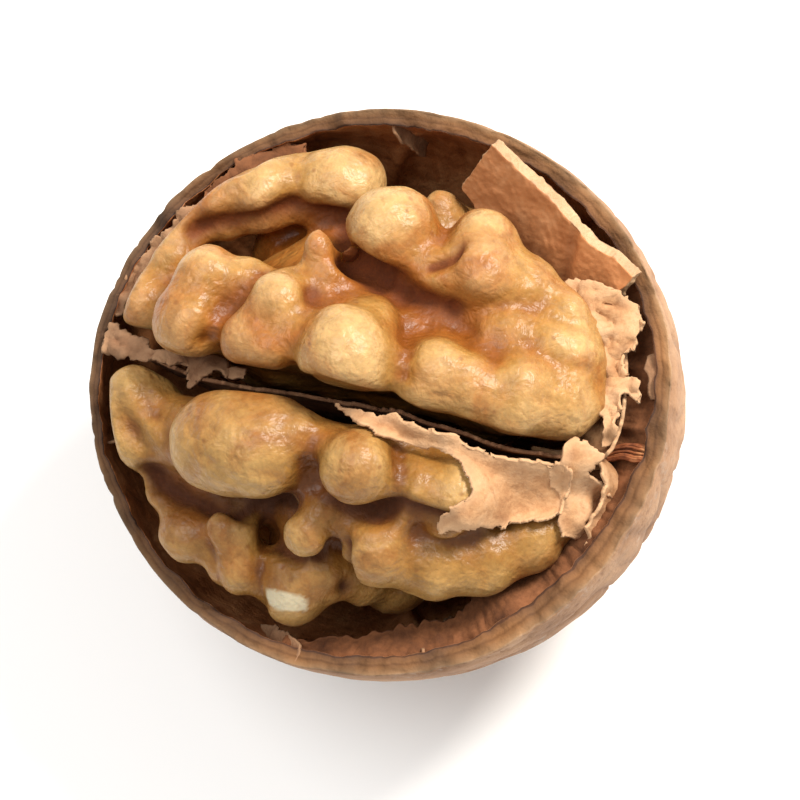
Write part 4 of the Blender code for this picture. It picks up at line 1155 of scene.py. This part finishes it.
back_skin = seed_skin("seed_skin_warm", "#552103", "#764013", "#8c5924", "#9c7138", "#b48f5c", "#90521d")
front_skin = seed_skin("seed_skin_ochre", "#3f1a04", "#633611", "#7c5221", "#906731", "#a9844e", "#804b1c")
paper_finish = papery("partition_paper", "#c7a17b", "#b5885e", "#8d5e3b")
pith_finish = papery("dried_pith", "#a5805f", "#835c3f", "#573521")
skirt_finish = papery("pith_lining", "#855433", "#6b4022", "#442511")
shell_finish = shell_wall()
shard_finish = shard_wood()

back_half = make_seed_half("seed_half_back", "kernel_back", back_skin, 3.0, BACK_CREASES)
front_half = make_seed_half("seed_half_front", "kernel_front", front_skin, 8.0, FRONT_CREASES)
nutshell = join("nutshell", [
    make_shell(shell_finish),
    pith_fins(pith_finish),
    pith_skirt(skirt_finish),
    draped_sheet("tip_film", TIP_FILM, [], pith_finish, 0.3, 1.2, level=19.4),
    draped_sheet("back_film", BACK_FILM, [], skirt_finish, 0.3, 0.7, level=19.2),
    stem_fibres(fibre_strands()),
])
shard = make_shard(shard_finish)

back_tree, front_tree = tree_of(back_half), tree_of(front_half)
sheets = [
    wall_sheet(pith_finish),
    draped_sheet("flap", FLAP, [front_tree], paper_finish, 0.25, 0.3, crest=FLAP_CREST),
    draped_sheet("stem_piece", STEM_PIECE, [front_tree], paper_finish, 0.3, 0.5, crest=FLAP_CREST),
    draped_sheet("tip_strip", TIP_STRIP, [], pith_finish, 0.3, 0.9, crest=WALL_TOP),
    draped_sheet("stem_wing", STEM_WING, [], paper_finish, 0.3, 1.3, level=21.6),
    stem_collar([back_tree, front_tree], paper_finish),
]
paper = join("partition_paper_sheets", sheets)

settle(back_half, "kernel_back")
settle(front_half, "kernel_front")
settle(nutshell, "shell")
settle(shard, "shell_chip")
settle(paper, "partition")


# Floor, light and camera

def make_floor():
    made = bmesh.new()
    bmesh.ops.create_grid(made, x_segments=1, y_segments=1, size=2.0)
    mesh = bpy.data.meshes.new("floor")
    made.to_mesh(mesh)
    made.free()
    finish, tree, shader = new_material("studio_floor_matt")
    shader.inputs["Base Color"].default_value = linear("#f6f5f3")
    shader.inputs["Roughness"].default_value = 0.9
    mesh.materials.append(finish)
    floor = link("floor", mesh)


make_floor()

tilt, azimuth, roll = math.radians(15), math.radians(-20), math.radians(12.5)
sight = Vector((math.sin(tilt) * math.cos(azimuth), math.sin(tilt) * math.sin(azimuth), math.cos(tilt)))
right = Vector((-math.sin(roll), math.cos(roll), 0)).cross(sight).normalized()
up = sight.cross(right)
SCALE = 40.3 / 600
DISTANCE = 330.0

camera_data = bpy.data.cameras.new("camera")
camera_data.sensor_width = 36
camera_data.lens = 36 * DISTANCE / (800 * SCALE)
camera_data.shift_x = 16 / 800
camera_data.shift_y = -6 / 800
camera_data.clip_start = 0.01
camera = bpy.data.objects.new("camera", camera_data)
bpy.context.scene.collection.objects.link(camera)
camera.matrix_world = Matrix.LocRotScale(
    sight * DISTANCE * MM + Vector((0, 0, 0.019)),
    Matrix((right, up, sight)).transposed().to_quaternion(),
    None,
)
bpy.context.scene.camera = camera


def area_light(name, direction, distance, size, power, colour):
    data = bpy.data.lights.new(name, "AREA")
    data.shape = "DISK"
    data.size = size
    data.energy = power
    data.color = linear(colour)[:3]
    lamp = bpy.data.objects.new(name, data)
    bpy.context.scene.collection.objects.link(lamp)
    lamp.location = direction.normalized() * distance + Vector((0, 0, 0.02))
    lamp.rotation_euler = direction.to_track_quat("Z", "Y").to_euler()


area_light("key", right * 0.6 + up * 0.8 + sight * 0.95, 0.6, 0.18, 5.8, "#fffaf2")
area_light("fill", right * -0.55 + up * 0.4 + sight * 1.2, 0.8, 0.5, 3.4, "#ffffff")

world = bpy.data.worlds.new("studio")
bpy.context.scene.world = world
world.use_nodes = True
world.node_tree.nodes["Background"].inputs["Color"].default_value = linear("#ffffff")
world.node_tree.nodes["Background"].inputs["Strength"].default_value = 0.68
bpy.context.scene.view_settings.view_transform = "Standard"
